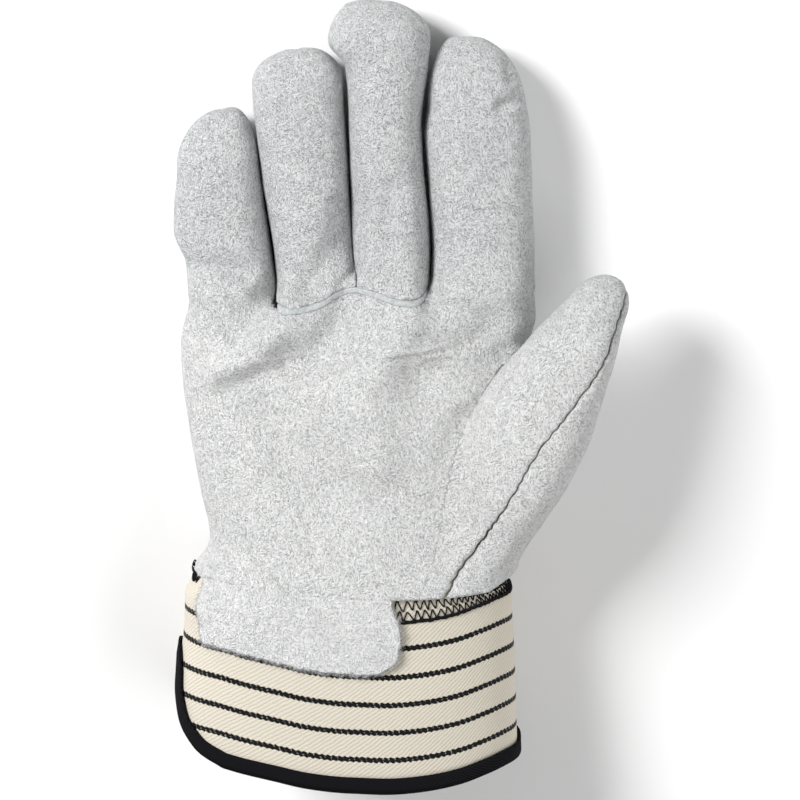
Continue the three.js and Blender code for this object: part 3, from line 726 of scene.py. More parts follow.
def skin_of(values: Array, origin: Array, pitch: float) -> Skin:
    """Skins the places where a field on a grid crosses zero.

    Args:
        values: The field, less than 0 inside.
        origin: Place of the grid's first point.
        pitch: Distance between the grid's points.

    Returns:
        Points and quads of the skin, facing out.
    """
    inside = values < 0
    count = np.zeros(tuple(n - 1 for n in values.shape), np.int8)
    for corner in CORNERS:
        count += inside[tuple(slice(c, values.shape[a] - 1 + c) for a, c in enumerate(corner))]
    cells = np.argwhere((count > 0) & (count < 8))
    index = np.full(count.shape, -1, np.int64)
    index[tuple(cells.T)] = np.arange(len(cells))
    at_corners = [values[tuple((cells + corner).T)] for corner in CORNERS]
    total = np.zeros((len(cells), 3))
    crossings = np.zeros(len(cells))
    for a, b in EDGES:
        va, vb = at_corners[a], at_corners[b]
        crossed = (va < 0) != (vb < 0)
        t = np.where(crossed, va / np.where(crossed, va - vb, 1), 0)
        spot = CORNERS[a] + t[:, None] * (CORNERS[b] - CORNERS[a])
        total += spot * crossed[:, None]
        crossings += crossed
    points = origin + (cells + total / crossings[:, None]) * pitch
    quads = []
    for axis in range(3):
        ahead = [slice(None)] * 3
        behind = [slice(None)] * 3
        ahead[axis], behind[axis] = slice(1, None), slice(None, -1)
        first, second = inside[tuple(behind)], inside[tuple(ahead)]
        for wall, turned in ((first & ~second, False), (second & ~first, True)):
            at = np.argwhere(wall)
            u, v = [step for step in range(3) if step != axis]
            if axis == 1:
                u, v = v, u
            ring = []
            for du, dv in ((-1, -1), (0, -1), (0, 0), (-1, 0)):
                cell = at.copy()
                cell[:, u] += du
                cell[:, v] += dv
                ring.append(index[tuple(cell.T)])
            quads.append(np.stack(ring[::-1] if turned else ring, axis=1))
    return points, np.concatenate(quads)


def main_body(points: Array, faces: Array) -> Skin:
    """Keeps the biggest connected body of a skin.

    Args:
        points: The skin's points.
        faces: Its quads.

    Returns:
        Points and quads of that body alone.
    """
    label = np.arange(len(points))
    while True:
        least = label[faces].min(axis=1)
        fresh = label.copy()
        for corner in range(faces.shape[1]):
            np.minimum.at(fresh, faces[:, corner], least)
        fresh = fresh[fresh]
        if np.array_equal(fresh, label):
            break
        label = fresh
    names, sizes = np.unique(label, return_counts=True)
    keep = label == names[sizes.argmax()]
    kept = faces[keep[faces[:, 0]]]
    return points[keep], (np.cumsum(keep) - 1)[kept]


def body_of(values: Array, origin: Array, pitch: float) -> Skin:
    """Skins the biggest body of a field, closed where it meets the grid's ends.

    Args:
        values: The field, less than 0 inside.
        origin: Place of the grid's first point.
        pitch: Distance between the grid's points.

    Returns:
        Points and quads of the skin, facing out.
    """
    values = values.copy()
    for axis in range(3):
        for end in (0, -1):
            border = [slice(None)] * 3
            border[axis] = end
            values[tuple(border)] = 1.0
    return main_body(*skin_of(values, origin, pitch))


def link(name: str, data: bpy.types.ID) -> bpy.types.Object:
    """Makes an object of a mesh, lamp or camera and links it to the scene."""
    made = bpy.data.objects.new(name, data)
    bpy.context.scene.collection.objects.link(made)
    return made


def make_mesh(name: str, points: Array, faces: list | Array) -> bpy.types.Object:
    """Makes a smooth object from points in the pattern frame.

    Args:
        name: The piece's name.
        points: Points in millimetres.
        faces: Lists of point numbers.

    Returns:
        The object, linked to the scene.
    """
    mesh = bpy.data.meshes.new(name)
    places = (np.asarray(points, float) - PATTERN_ORIGIN) * MILLIMETRE
    rows = faces.tolist() if isinstance(faces, np.ndarray) else faces
    mesh.from_pydata(places.tolist(), [], rows)
    mesh.update()
    mesh.shade_smooth()
    return link(name, mesh)


def dress(
    piece: bpy.types.Object, material: bpy.types.Material, slot: Slot | None, *nodes: str
) -> None:
    """Gives a piece its material, its body and the solids that it stands for.

    Args:
        piece: The piece.
        material: Its material.
        slot: The record's slot, or None where the record has none for it; not used.
        nodes: Solids that it replaces.
    """
    piece.data.materials.clear()
    piece.data.materials.append(material)
    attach(piece, "root")
    if nodes:
        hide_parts(*nodes)
    log.info("%s: %d faces", piece.name, len(piece.data.polygons))


@dataclass
class LeatherShell:
    """The palm, the finger fronts, the back and the two halves of the thumb."""

    form: GloveForm
    pitch: float = 0.8
    margin: float = 4.0
    finger_fillet: float = 5.0
    bridge: float = 14.0
    thumb_fillet: float = 7.0
    side_round: float = 1.6
    thumb_round: float = 1.2
    border_round: float = 0.15
    base_round: float = 0.2
    base_tuck: float = 0.25
    wrist_round: float = 0.3
    seam_opening: float = 0.1
    lump_depth: float = 0.45
    fullness: float = 0.3
    crotch: float = 74.0
    backs_apart: float = 0.75
    base_skirt: float = 7.0
    merging_ends: tuple[float, float] = (42.0, 72.0)
    merging_overlap: float = 1.3
    merging_inset: float = 0.14
    least_round: float = 0.05
    wedge_ends: tuple[float, float] = (8.0, 34.0)
    wedge_opening: float = 0.1
    wedge_round: float = 0.9
    wobble: float = 0.25

    def __post_init__(self) -> None:
        """Works out the fields of all tubes over one grid."""
        s = self.form.sizes
        self.skins: dict[str, Skin] = {}
        self.low = np.array([-62.0, -8.0, -1.6]) - self.margin * np.array([1, 0, 0.3])
        high = np.array([95.0, 196.0, 60.0])
        counts = np.ceil((high - self.low) / self.pitch).astype(int)
        axes = [self.low[a] + np.arange(counts[a]) * self.pitch for a in range(3)]
        x, y, z = np.meshgrid(*axes, indexing="ij", sparse=True)
        flat_x, flat_y = np.meshgrid(axes[0], axes[1], indexing="ij")
        self.x, self.y, self.z = x, y, z
        outline = self.form.hand_outline(np.minimum(y, s.hand_length))
        lift = np.clip((z - outline.middle) / outline.half, 0, 1)
        pressed = z + self.form.dent(flat_x, flat_y)[:, :, None] * lift
        lumps = LatticeNoise(7)
        shape = tuple(int(c) for c in counts)
        wander = lumps.spread(shape, (14, 16, 14)) * self.lump_depth
        wander += lumps.spread(shape, (6, 7, 6)) * self.lump_depth * 0.35
        wander = wander.astype(np.float32)
        self.hand = self.levelled(self.form.hand_field(x, y, pressed)) + wander
        full = wander - self.fullness
        self.digits = {
            digit: self.levelled(self.form.finger_field(digit, x, y, pressed)) + full
            for digit in Digit
        }
        self.thumb = self.levelled(self.form.thumb_field(x, y, pressed)) + wander
        self.table = (-z).astype(np.float32)
        self.side_seam = z - self.form.seam_middle(x, y)
        self.wrist = self.form.wrist_line(x) - y
        self.build_cuts()
        self.hollow = self.make_hollow()

    def levelled(self, values: Array) -> Array:
        """Field with its steep places evened out, to measure distance near the tips too."""
        values = values.astype(np.float32)
        slopes = np.gradient(values, self.pitch)
        steepness = np.sqrt(sum(slope * slope for slope in slopes))
        return values / np.maximum(steepness, 1.0)

    def build_cuts(self) -> None:
        """Works out the fields of the cuts along the seams."""
        s = self.form.sizes
        along, across = self.form.thumb_local(self.x, self.y)
        self.thumb_along = along
        self.beyond_thumb_seam = self.form.thumb["seam"](along) - across
        slant = math.radians(s.thumb_slant)
        stitched = self.wobble * np.sin(along * 1.25 + 2 * np.sin(along * 0.31))
        da = across - self.form.thumb_seam(along) + stitched
        spread = np.linspace(-20, s.thumb_length + 20, 60)
        fillet = Profile(spread, self.fillet_along(spread))
        dz = self.z - self.form.seam_tops(fillet)(along)
        slanted = dz * math.cos(slant) - da * math.sin(slant)
        steep = math.radians(s.seam_steepness)
        upright = dz * math.cos(steep) - da * math.sin(steep)
        self.behind_thumb_seam = np.minimum(upright, slanted + s.seam_depth)
        self.past_welt = self.form.welt_line(self.x) - self.y
        parted = (Digit.RING, Digit.MIDDLE, Digit.INDEX)
        edges = (self.form.inner_edges[digit] for digit in parted)
        self.base_left, self.base_split, self.base_right = edges
        self.over_welt = s.welt_width / 2 - self.base_tuck
        self.half_gap = self.seam_opening / 2
        bridge = 0.3 + self.bridge * (1 - eased(-self.past_welt, 1.5, 6))
        roots = smooth_least(self.digits[Digit.RING], self.digits[Digit.MIDDLE], bridge)
        self.base_skin = smooth_least(self.hand, roots, self.finger_fillet)

    def make_hollow(self) -> Array:
        """Field of the hollow that the hand goes into."""
        inner = np.minimum(self.hand, self.thumb)
        for digit in Digit:
            inner = np.minimum(inner, self.digits[digit])
        floor = self.form.sizes.leather - self.z
        return np.maximum(inner + self.form.sizes.leather, floor)

    def band(self, start: float, finish: float, low: float) -> Array:
        """Field of the strip past the base seam between two places across.

        Args:
            start: Left end of the strip.
            finish: Right end of the strip.
            low: How far past the seam's middle line it starts.

        Returns:
            The field, less than 0 inside the strip.
        """
        sides = np.maximum(start - self.x, self.x - finish)
        return np.maximum(sides, self.past_welt + low)

    def shell(self, skin: Array, *cuts: Cut) -> Array:
        """Wall of leather under a skin, cut at its seams with rounded edges.

        Args:
            skin: Field of the outer skin.
            cuts: Fields, less than 0 on the kept side, each with the rounding of its edge.

        Returns:
            The field of the wall.
        """
        wall = smooth_most(skin, self.table, 1.0)
        for cut, rounding in cuts:
            wall = smooth_most(wall, cut, rounding)
        return np.maximum(wall, -self.hollow)

    def piece(self, name: str, values: Array) -> bpy.types.Object:
        """Skins one piece of leather."""
        self.skins[name] = body_of(np.asarray(values, np.float32), self.low, self.pitch)
        return make_mesh(name, *self.skins[name])

    def front_cut(self) -> Cut:
        """Cut along the glove's sides that keeps the palm side."""
        return self.half_gap - self.side_seam, self.side_round

    def hand_cuts(self) -> list[Cut]:
        """Cuts that the palm and the back share: the thumb's border and the wrist."""
        beyond = self.seam_opening - self.beyond_thumb_seam
        beyond = np.minimum(beyond, self.crotch + self.half_gap - self.y)
        return [(beyond, self.border_rounding()), (self.wrist, self.wrist_round)]

    def merging(self) -> Array:
        """Share that is 1 near the wrist, where the thumb's border can't be told, then 0."""
        return 1 - eased(self.thumb_along, *self.merging_ends)

    def border_rounding(self) -> Array:
        """Rounding of the leather at the thumb's border, sharper towards the wrist."""
        return self.least_round + self.border_round * (1 - self.merging())

    def palm(self) -> bpy.types.Object:
        """The palm with the fronts of the index and little fingers."""
        left, right = self.base_left - self.half_gap, self.base_right + self.half_gap
        base = self.band(left, right, -self.over_welt)
        short_of_welt = np.maximum(self.base_skin, self.over_welt - self.past_welt)
        hand = self.hand + (self.thumb_skin() - self.hand) * self.merging()
        skin = np.minimum(np.maximum(hand, -base), short_of_welt)
        for digit in (Digit.LITTLE, Digit.INDEX):
            skin = smooth_least(skin, self.digits[digit], self.finger_fillet)
        return self.piece("palm_leather", self.shell(skin, self.front_cut(), *self.hand_cuts()))

    def finger_front(self, digit: Digit, start: float, finish: float) -> bpy.types.Object:
        """The front of one of the two fingers that are sewn on at their base."""
        base = self.band(start + self.half_gap, finish - self.half_gap, self.over_welt)
        end = np.maximum(self.base_skin, np.maximum(base, -self.past_welt - self.base_skirt))
        past = self.past_welt + self.over_welt
        skin = np.minimum(np.maximum(self.digits[digit], past), end)
        cuts = (self.front_cut(), (past, self.base_round))
        return self.piece(f"{digit.value}_front_leather", self.shell(skin, *cuts))

    def back(self) -> bpy.types.Object:
        """The back of the hand with the backs of the four fingers."""
        skin = self.hand
        for field_of_digit in self.digits.values():
            skin = np.minimum(skin, smooth_least(self.hand, field_of_digit, self.finger_fillet))
        half_gap = self.form.sizes.finger_gap / 2
        for digit in (Digit.RING, Digit.MIDDLE, Digit.INDEX):
            along, across = self.form.finger_local(digit, self.x, self.y)
            size = self.form.sizes.fingers[digit]
            left = FINGER_TABLES[digit].profile("left", size.length, size.width)(along)
            gap = np.maximum(np.abs(across - left + half_gap) - self.backs_apart, -along)
            skin = np.maximum(skin, -gap)
        side = (self.side_seam + self.half_gap, self.side_round)
        return self.piece("back_leather", self.shell(skin, side, *self.hand_cuts()))

    def fillet_along(self, along: Array) -> Array:
        """Size of the fillet between hand and thumb, which fades towards the crotch."""
        return self.thumb_fillet * (1 - eased(along, 25, 60)) + 0.4

    def thumb_skin(self) -> Array:
        """Outer skin of the thumb's side, with the hand's as far as the crotch."""
        hand = np.maximum(self.hand, self.y - self.crotch)
        return smooth_least(hand, self.thumb, self.fillet_along(self.thumb_along))

    def thumb_half(self, name: str, cut: Array) -> bpy.types.Object:
        """One half of the thumb on its side of the seam."""
        merging = self.merging()
        border = (self.beyond_thumb_seam - self.merging_overlap * merging, self.border_rounding())
        wedge = 1 - eased(self.thumb_along, *self.wedge_ends)
        seam = (cut + self.wedge_opening * wedge, self.thumb_round + self.wedge_round * wedge)
        inset = self.merging_inset * merging * eased(self.beyond_thumb_seam, -0.5, 0.3)
        skin = self.thumb_skin() + inset
        return self.piece(name, self.shell(skin, border, seam, (self.wrist, self.wrist_round)))

    def thumb_front(self) -> bpy.types.Object:
        """The leaf-shaped front of the thumb."""
        return self.thumb_half("thumb_front_leather", self.half_gap - self.behind_thumb_seam)

    def thumb_back(self) -> bpy.types.Object:
        """The back of the thumb, beyond its seam."""
        return self.thumb_half("thumb_back_leather", self.behind_thumb_seam + self.half_gap)

    def build(self, material: bpy.types.Material) -> None:
        """Makes and dresses all the leather of the hand."""
        ring = (Digit.RING, self.base_left, self.base_split)
        middle = (Digit.MIDDLE, self.base_split, self.base_right)
        pieces = {
            "palm_panel": self.palm(),
            "ring_finger_front": self.finger_front(*ring),
            "middle_finger_front": self.finger_front(*middle),
            "back_panel": self.back(),
            "thumb_front": self.thumb_front(),
            "thumb_back": self.thumb_back(),
        }
        for node, piece in pieces.items():
            dress(piece, material, Slot.SUEDE, node)


def ring_mesh(name: str, rings: Array, closed_along: bool) -> bpy.types.Object:
    """Makes a skin through rings of equal length.

    Args:
        name: The piece's name.
        rings: Points as rings, sides and coordinates; each ring closes on itself.
        closed_along: Whether the last ring joins the first; the ends are capped if not.

    Returns:
        The object.
    """
    count, sides = rings.shape[:2]
    index = np.arange(count * sides).reshape(count, sides)
    ahead = np.roll(index, -1, axis=0)
    if not closed_along:
        index, ahead = index[:-1], ahead[:-1]
    beside, across = np.roll(index, -1, axis=1), np.roll(ahead, -1, axis=1)
    quads = np.stack((index, beside, across, ahead), axis=-1)
    faces = quads.reshape(-1, 4).tolist()
    if not closed_along:
        faces.append(list(range(sides))[::-1])
        faces.append([(count - 1) * sides + i for i in range(sides)])
    return make_mesh(name, rings.reshape(-1, 3), faces)


class CuffForm:
    """Surface of the cuff, by the turn round it, the place along it and the distance out of it."""

    def __init__(self, form: GloveForm) -> None:
        """Keeps the glove's form and the outline of the slit.

        Args:
            form: The glove's outer form.
        """
        self.form = form
        self.sizes = form.sizes
        self.slit = SLIT_TABLE.profile("lift", self.sizes.slit_turn, self.sizes.slit_depth)
        self.wrist_gap = 0.15

    def point(self, turn: Array, y: Array, out: Array | float) -> Array:
        """Points of the cuff.

        Args:
            turn: From 0 at the slit over the palm side to 0.5 at the thumb side and on to 1.
            y: Places along the glove.
            out: Distance from the middle of the canvas.

        Returns:
            The points, with coordinates on the last axis.
        """
        s = self.sizes
        turn, y, out = np.broadcast_arrays(*(np.asarray(value, float) for value in (turn, y, out)))
        outline = self.form.hand_outline(y)
        gap = self.wrist_gap + (s.tuck_gap - self.wrist_gap) * eased(-y, 0, 15)
        inset = out - (s.leather + gap + s.canvas / 2)
        hem = np.clip(-y / s.cuff_length, 0, 1)
        floor_top = s.leather + s.tuck_gap + s.canvas / 2
        floor_hem = s.canvas / 2 + s.tape_gap + s.tape
        floor = floor_top + (floor_hem - floor_top) * hem - out
        angle = math.pi - 2 * math.pi * turn
        power = 2 / s.squareness
        reach, rise = (np.sign(a) * np.abs(a) ** power for a in (np.cos(angle), np.sin(angle)))
        x = np.where(reach > 0, reach * (outline.right + inset), -reach * (outline.left - inset))
        z = np.maximum(outline.middle + (outline.half + inset) * rise, floor)
        return np.stack((x, y, z), axis=-1)

    def edge(self, turn: Array) -> Array:
        """Places along Y of the canvas edge, down the slit's side, along the hem and up again."""
        lift = self.slit(turn) + self.slit(1 - turn)
        return lift - self.sizes.cuff_length + self.form.sway(turn)

    def shifted(
        self, turn: Array, y: Array, out: float, direction: Array, distance: float
    ) -> Array:
        """Points on one side of the canvas, a distance away along its surface.

        Args:
            turn: Turns of the places.
            y: Places along the glove.
            out: Distance from the middle of the canvas.
            direction: Unit vectors along the surface.
            distance: How far to go.

        Returns:
            The points.
        """
        reach = 0.01
        across = (self.point(turn + reach, y, 0) - self.point(turn - reach, y, 0)) / (2 * reach)
        along = self.point(turn, y + 1, 0) - self.point(turn, y, 0)
        pairs = (across, across), (across, along), (along, along)
        aa, ab, bb = ((p * q).sum(-1) for p, q in pairs)
        a = (direction * across).sum(-1) * distance
        b = (direction * along).sum(-1) * distance
        scale = aa * bb - ab * ab
        turn = turn + (a * bb - b * ab) / scale
        return self.point(turn, y + (b * aa - a * ab) / scale, out)


@dataclass
class SafetyCuff:
    """Striped drill cuff with its taped edge and the leather patch over it."""

    cuff: CuffForm
    columns: int = 420
    rows: int = 46
    tape_sides: int = 5
    patch_columns: int = 190
    patch_rows: int = 60
    fibre_count: int = 1700
    fibre_radius: float = 0.075
    tuck_in: float = 0.5
    unevenness: float = 0.45
    fibre_lengths: tuple[float, float] = (0.7, 1.7)
    fibre_spread: float = 0.8
    fibre_curl: float = 0.5

    def canvas(self) -> bpy.types.Object:
        """The drill tube, open at the slit, with the weave's directions as a UV map."""
        s = self.cuff.sizes
        turn = np.arange(self.columns) / self.columns
        top = s.cuff_tuck + self.cuff.form.wrist_line(self.cuff.point(turn, 0, 0)[:, 0])
        bottom = self.cuff.edge(turn)
        drop = np.linspace(0, 1, self.rows)
        y = top[:, None] + (bottom - top)[:, None] * drop
        turns = np.broadcast_to(turn[:, None], y.shape)
        outer = self.cuff.point(turns, y, s.canvas / 2)
        inner = self.cuff.point(turns, y, -s.canvas / 2)
        rings = np.concatenate((outer, inner[:, ::-1]), axis=1)
        piece = ring_mesh("cuff_drill", rings, closed_along=True)
        middle = self.cuff.point(np.append(turn, 1), -s.cuff_length / 2, 0)
        around = np.concatenate(([0], np.cumsum(np.linalg.norm(np.diff(middle, axis=0), axis=1))))
        nominal = y - self.cuff.form.sway(turns)
        v = np.concatenate((nominal, nominal[:, ::-1]), axis=1)
        u = np.broadcast_to(around[:-1, None], v.shape)
        self.lay_weave(piece, u, v, around[-1])
        return piece

    def lay_weave(self, piece: bpy.types.Object, u: Array, v: Array, girth: float) -> None:
        """Writes the weave's directions on a closed loop of columns.

        Args:
            piece: The canvas.
            u: Distance round the cuff of each point.
            v: Distance along the weave of each point.
            girth: Distance once round.
        """
        mesh = piece.data
        corners = np.empty(len(mesh.loops), np.int64)
        mesh.loops.foreach_get("vertex_index", corners)
        flat_u, flat_v = u.ravel()[corners].reshape(-1, 4), v.ravel()[corners]
        wrapped = flat_u.max(axis=1, keepdims=True) - flat_u > girth / 2
        flat_u = (flat_u + girth * wrapped).ravel()
        layer = mesh.uv_layers.new(name="weave")
        layer.data.foreach_set("uv", np.stack((flat_u, flat_v), axis=1).ravel() * 0.1)

    def binding(self) -> bpy.types.Object:
        """Black tape folded over the canvas edge."""
        s = self.cuff.sizes
        turn = np.arange(self.columns) / self.columns
        y = self.cuff.edge(turn)
        centre = self.cuff.point(turn, y, 0)
        along = unit(np.roll(centre, -1, axis=0) - np.roll(centre, 1, axis=0))
        out = unit(self.cuff.point(turn, y, 1) - self.cuff.point(turn, y, -1))
        away = unit(np.cross(along, out))
        low = s.canvas / 2 + s.tape_gap
        high = low + s.tape
        bends = np.linspace(0, math.pi, 9)
        legs = np.linspace(-s.tape_width, 0, self.tape_sides)

        def leg_rings(lift: float, order: Array) -> list[Array]:
            """One side of one leg."""
            return [self.cuff.shifted(turn, y, lift, away, leg) for leg in order]

        def bend_rings(lift: float, past: float, order: Array) -> list[Array]:
            """One side of the fold round the canvas edge."""
            return [
                centre + away * math.sin(bend) * past + out * math.cos(bend) * lift
                for bend in order
            ]

        rings = leg_rings(high, legs) + bend_rings(high, s.tape_gap + s.tape, bends)
        rings += leg_rings(-high, legs[::-1]) + leg_rings(-low, legs)
        rings += bend_rings(low, s.tape_gap, bends[::-1]) + leg_rings(low, legs[::-1])
        return ring_mesh("cuff_tape", np.stack(rings, axis=1), closed_along=True)

    def patch(self) -> bpy.types.Object:
        """Leather patch that lies over the cuff on the palm side."""
        s = self.cuff.sizes
        across = np.linspace(0, 1, self.patch_columns)
        down = np.linspace(0, 1, self.patch_rows)
        start, finish = PATCH_TABLE.profile("start"), PATCH_TABLE.profile("finish")
        turn = start(down)[None, :] + (finish(down) - start(down))[None, :] * across[:, None]
        low = s.canvas / 2 + s.seam_gap
        top = self.cuff.form.wrist_line(self.cuff.point(turn, 0, low)[..., 0]) + self.tuck_in
        bottom = self.cuff.form.sway(turn) - s.patch_length
        y = top + (bottom - top) * down[None, :]
        random = np.random.default_rng(5)
        y = y + self.ragged(random, self.patch_columns)[:, None] * down[None, :] ** 10
        sideways = self.ragged(random, self.patch_rows)[None, :] / 300
        turn = turn + sideways * (across[:, None] ** 16 - (1 - across[:, None]) ** 16)
        flat = self.cuff.point(turn, y, low)
        edge = self.border_distance(flat) + np.clip(1 - down[None, :] * 12, 0, 1)
        thick = s.leather * np.sqrt(np.clip(1 - (1 - np.clip(edge, 0, 1)) ** 2, 0, 1))
        middle = low + s.leather / 2
        outer = self.cuff.point(turn, y, middle + thick / 2)
        inner = self.cuff.point(turn, y, middle - thick / 2)
        rings = np.concatenate((outer, inner[:, ::-1]), axis=1)
        self.patch_face = outer
        self.patch_border = self.border_line(turn, y)
        return ring_mesh("patch_leather", rings, closed_along=False)

    def ragged(self, random: np.random.Generator, count: int) -> Array:
        """Unevenness of a cut edge in millimetres."""
        steps = random.uniform(-self.unevenness, self.unevenness, count + 2)
        return np.convolve(steps, SOFTENING, "valid")

    def border_line(self, turn: Array, y: Array) -> Array:
        """Places of the patch's free edge: down its left, along its bottom and up its right side.

        Args:
            turn: Turns of the patch's points.
            y: Their places along the glove.

        Returns:
            Rows of turn and place.
        """
        grid = np.stack((turn, y), axis=-1)
        return np.concatenate((grid[0], grid[1:-1, -1], grid[-1, ::-1]))

    def fuzz(self) -> bpy.types.Object:
        """Loose fibres that stand out of the patch's cut edge."""
        s = self.cuff.sizes
        random = np.random.default_rng(23)
        line = self.patch_border
        places = self.cuff.point(line[:, 0], line[:, 1], s.canvas / 2 + s.seam_gap + s.leather / 2)
        lengths = np.concatenate(([0], np.cumsum(np.linalg.norm(np.diff(places, axis=0), axis=1))))
        centre = places.mean(axis=0)
        fibres = []
        for at in np.sort(random.uniform(0, lengths[-1], self.fibre_count)):
            i = min(int(np.searchsorted(lengths, at)), len(places) - 1)
            along = places[i] - places[i - 1]
            along /= np.linalg.norm(along)
            out = self.cuff.point(*line[i], 1) - self.cuff.point(*line[i], 0)
            away = np.cross(along, out)
            away *= np.sign((away * (places[i] - centre)).sum()) / np.linalg.norm(away)
            root = places[i] - away * 0.5 + out * random.uniform(-0.5, 0.95) * s.leather / 2
            sideways = along * random.normal(0, self.fibre_spread)
            lean = away + sideways + out * random.normal(0.15, 0.35)
            curl = along * random.normal(0, self.fibre_curl) + out * random.normal(0, 0.3)
            reach = random.uniform(*self.fibre_lengths)
            t = np.linspace(0, 1, 4)[:, None]
            fibre = root + lean * reach * t + curl * reach * t * t
            width = self.fibre_radius * (1 - 0.8 * t[:, 0])
            upward = np.broadcast_to(out, fibre.shape)
            fibres.append(strand(fibre, upward, width, self.fibre_radius * 0.6, 3))
        return strands_mesh("patch_fibres", fibres)

    def border_distance(self, sheet: Array) -> Array:
        """Distance of each point of a sheet from the sheet's border.

        Args:
            sheet: Points as columns, rows and coordinates.

        Returns:
            The distances.
        """
        border = np.concatenate((sheet[0], sheet[-1], sheet[:, 0], sheet[:, -1]))
        away = np.full(sheet.shape[:2], np.inf)
        for point in border[::2]:
            away = np.minimum(away, np.linalg.norm(sheet - point, axis=-1))
        return away

    def build(
        self, drill: bpy.types.Material, tape: bpy.types.Material, suede: bpy.types.Material
    ) -> None:
        """Makes and dresses the cuff's pieces."""
        dress(self.canvas(), drill, Slot.DRILL, "cuff_canvas")
        dress(self.binding(), tape, Slot.TAPE, "cuff_binding")
        dress(self.patch(), suede, Slot.SUEDE, "cuff_patch")
        dress(self.fuzz(), suede, Slot.SUEDE)

    def patch_skin(self) -> Skin:
        """Outer skin of the patch as points and quads."""
        index = np.arange(self.patch_face[..., 0].size).reshape(self.patch_face.shape[:2])
        quads = (index[:-1, :-1], index[:-1, 1:], index[1:, 1:], index[1:, :-1])
        return self.patch_face.reshape(-1, 3), np.stack(quads, axis=-1).reshape(-1, 4)


def strand(centre: Array, out: Array, width: Array | float, height: float, sides: int) -> Array:
    """Rings of an oval thread along a line.

    Args:
        centre: Points of the line.
        out: Unit vectors out of the surface that it lies on.
        width: Half of its breadth along the surface.
        height: Half of its height.
        sides: Points in a ring.

    Returns:
        The rings.
    """
    along = unit(np.gradient(centre, axis=0))
    across = unit(np.cross(along, out))
    up = np.cross(across, along)[:, None]
    turn = np.linspace(0, 2 * math.pi, sides, endpoint=False)[None, :, None]
    width = np.broadcast_to(width, len(centre))[:, None, None]
    sideways = across[:, None] * np.cos(turn) * width
    return centre[:, None] + sideways + up * np.sin(turn) * height


def strands_mesh(name: str, strands: list[Array]) -> bpy.types.Object:
    """Makes one object of many capped threads.

    Args:
        name: The piece's name.
        strands: Rings of each thread.

    Returns:
        The object.
    """
    points, faces, first = [], [], 0
    for rings in strands:
        count, sides = rings.shape[:2]
        index = first + np.arange(count * sides).reshape(count, sides)
        round_index = np.roll(index, -1, axis=1)
        quads = np.stack((index[:-1], round_index[:-1], round_index[1:], index[1:]), axis=-1)
        faces += quads.reshape(-1, 4).tolist()
        faces += [index[0, ::-1].tolist(), index[-1].tolist()]
        points.append(rings.reshape(-1, 3))
        first += count * sides
    return make_mesh(name, np.concatenate(points), faces)


@dataclass
class NapFibres:
    """Fibres that stand out of the suede on the palm side."""

    least_height: float = 10.0
    seed: int = 31
    most: int = 31000
    density: float = 1.1
    radius: float = 0.06
    lie: float = -0.8
    spread: float = 0.85
    lengths: tuple[float, float] = (0.6, 1.25)
    rises: tuple[float, float] = (0.02, 0.24)
    root_depth: float = 0.06
    curl: float = 0.35

    def scatter(
        self, points: Array, faces: Array, random: np.random.Generator
    ) -> tuple[Array, Array]:
        """Random places on the faces that look up.

        Args:
            points: The skin's points.
            faces: Its quads.
            random: Random numbers.

        Returns:
            The places and the unit vectors out of the skin.
        """
        corners = points[faces]
        normal = np.cross(corners[:, 2] - corners[:, 0], corners[:, 3] - corners[:, 1]) / 2
        area = np.linalg.norm(normal, axis=1)
        normal /= np.maximum(area, 1e-9)[:, None]
        seen = corners[:, :, 2].min(axis=1) > self.least_height
        weight = area * seen * np.clip((normal[:, 2] - 0.05) * 4, 0, 1)
        count = min(int(weight.sum() * self.density), self.most)
        chosen = random.choice(len(faces), count, p=weight / weight.sum())
        a, b = random.uniform(0, 1, (2, count, 1))
        quad = corners[chosen]
        low = quad[:, 0] * (1 - a) + quad[:, 1] * a
        high = quad[:, 3] * (1 - a) + quad[:, 2] * a
        return low * (1 - b) + high * b, normal[chosen]

    def grow(self, name: str, points: Array, faces: Array) -> bpy.types.Object:
        """Makes the fibres of one piece, each a thin spindle with a bend.

        Args:
            name: Name for the fibres.
            points: The skin's points.
            faces: Its quads.

        Returns:
            The object.
        """
        random = np.random.default_rng(self.seed)
        place, normal = self.scatter(points, faces, random)
        count = len(place)
        patchy = 0.8 * np.sin(place[:, 0] * 0.21 + 1.7 * np.sin(place[:, 1] * 0.13))
        angle = self.lie + self.spread * random.normal(0, 1, count) + patchy
        lying = np.stack((np.cos(angle), np.sin(angle), np.zeros(count)), axis=1)
        lying -= (lying * normal).sum(1, keepdims=True) * normal
        lying /= np.maximum(np.linalg.norm(lying, axis=1, keepdims=True), 1e-6)
        side = np.cross(normal, lying)
        length = random.uniform(*self.lengths, count)[:, None]
        rise = random.uniform(*self.rises, count)[:, None]
        root = place - normal * self.root_depth
        bend = root + (lying + normal * rise) * length * 0.5
        curl = side * random.normal(0, self.curl, count)[:, None] + normal * rise * 0.3
        tip = bend + (lying + curl) * length * 0.5
        thick = self.radius * random.uniform(0.7, 1.2, count)[:, None]
        turns = (0.5, 2.6, 4.7)
        ring = [bend + (side * math.cos(t) + normal * math.sin(t)) * thick for t in turns]
        spindle = np.stack((root, *ring, tip), axis=1)
        first = 5 * np.arange(count)[:, None, None]
        sides = np.array([(0, 1, 2), (0, 2, 3), (0, 3, 1), (4, 2, 1), (4, 3, 2), (4, 1, 3)])
        return make_mesh(name, spindle.reshape(-1, 3), (first + sides[None]).reshape(-1, 3))

    def build(self, skins: dict[str, Skin], material: bpy.types.Material) -> None:
        """Grows and dresses the fibres of all skins but the back's."""
        for name, skin in skins.items():
            if name != "back_leather":
                fibres = self.grow(name.replace("leather", "nap"), *skin)
                dress(fibres, material, Slot.SUEDE)


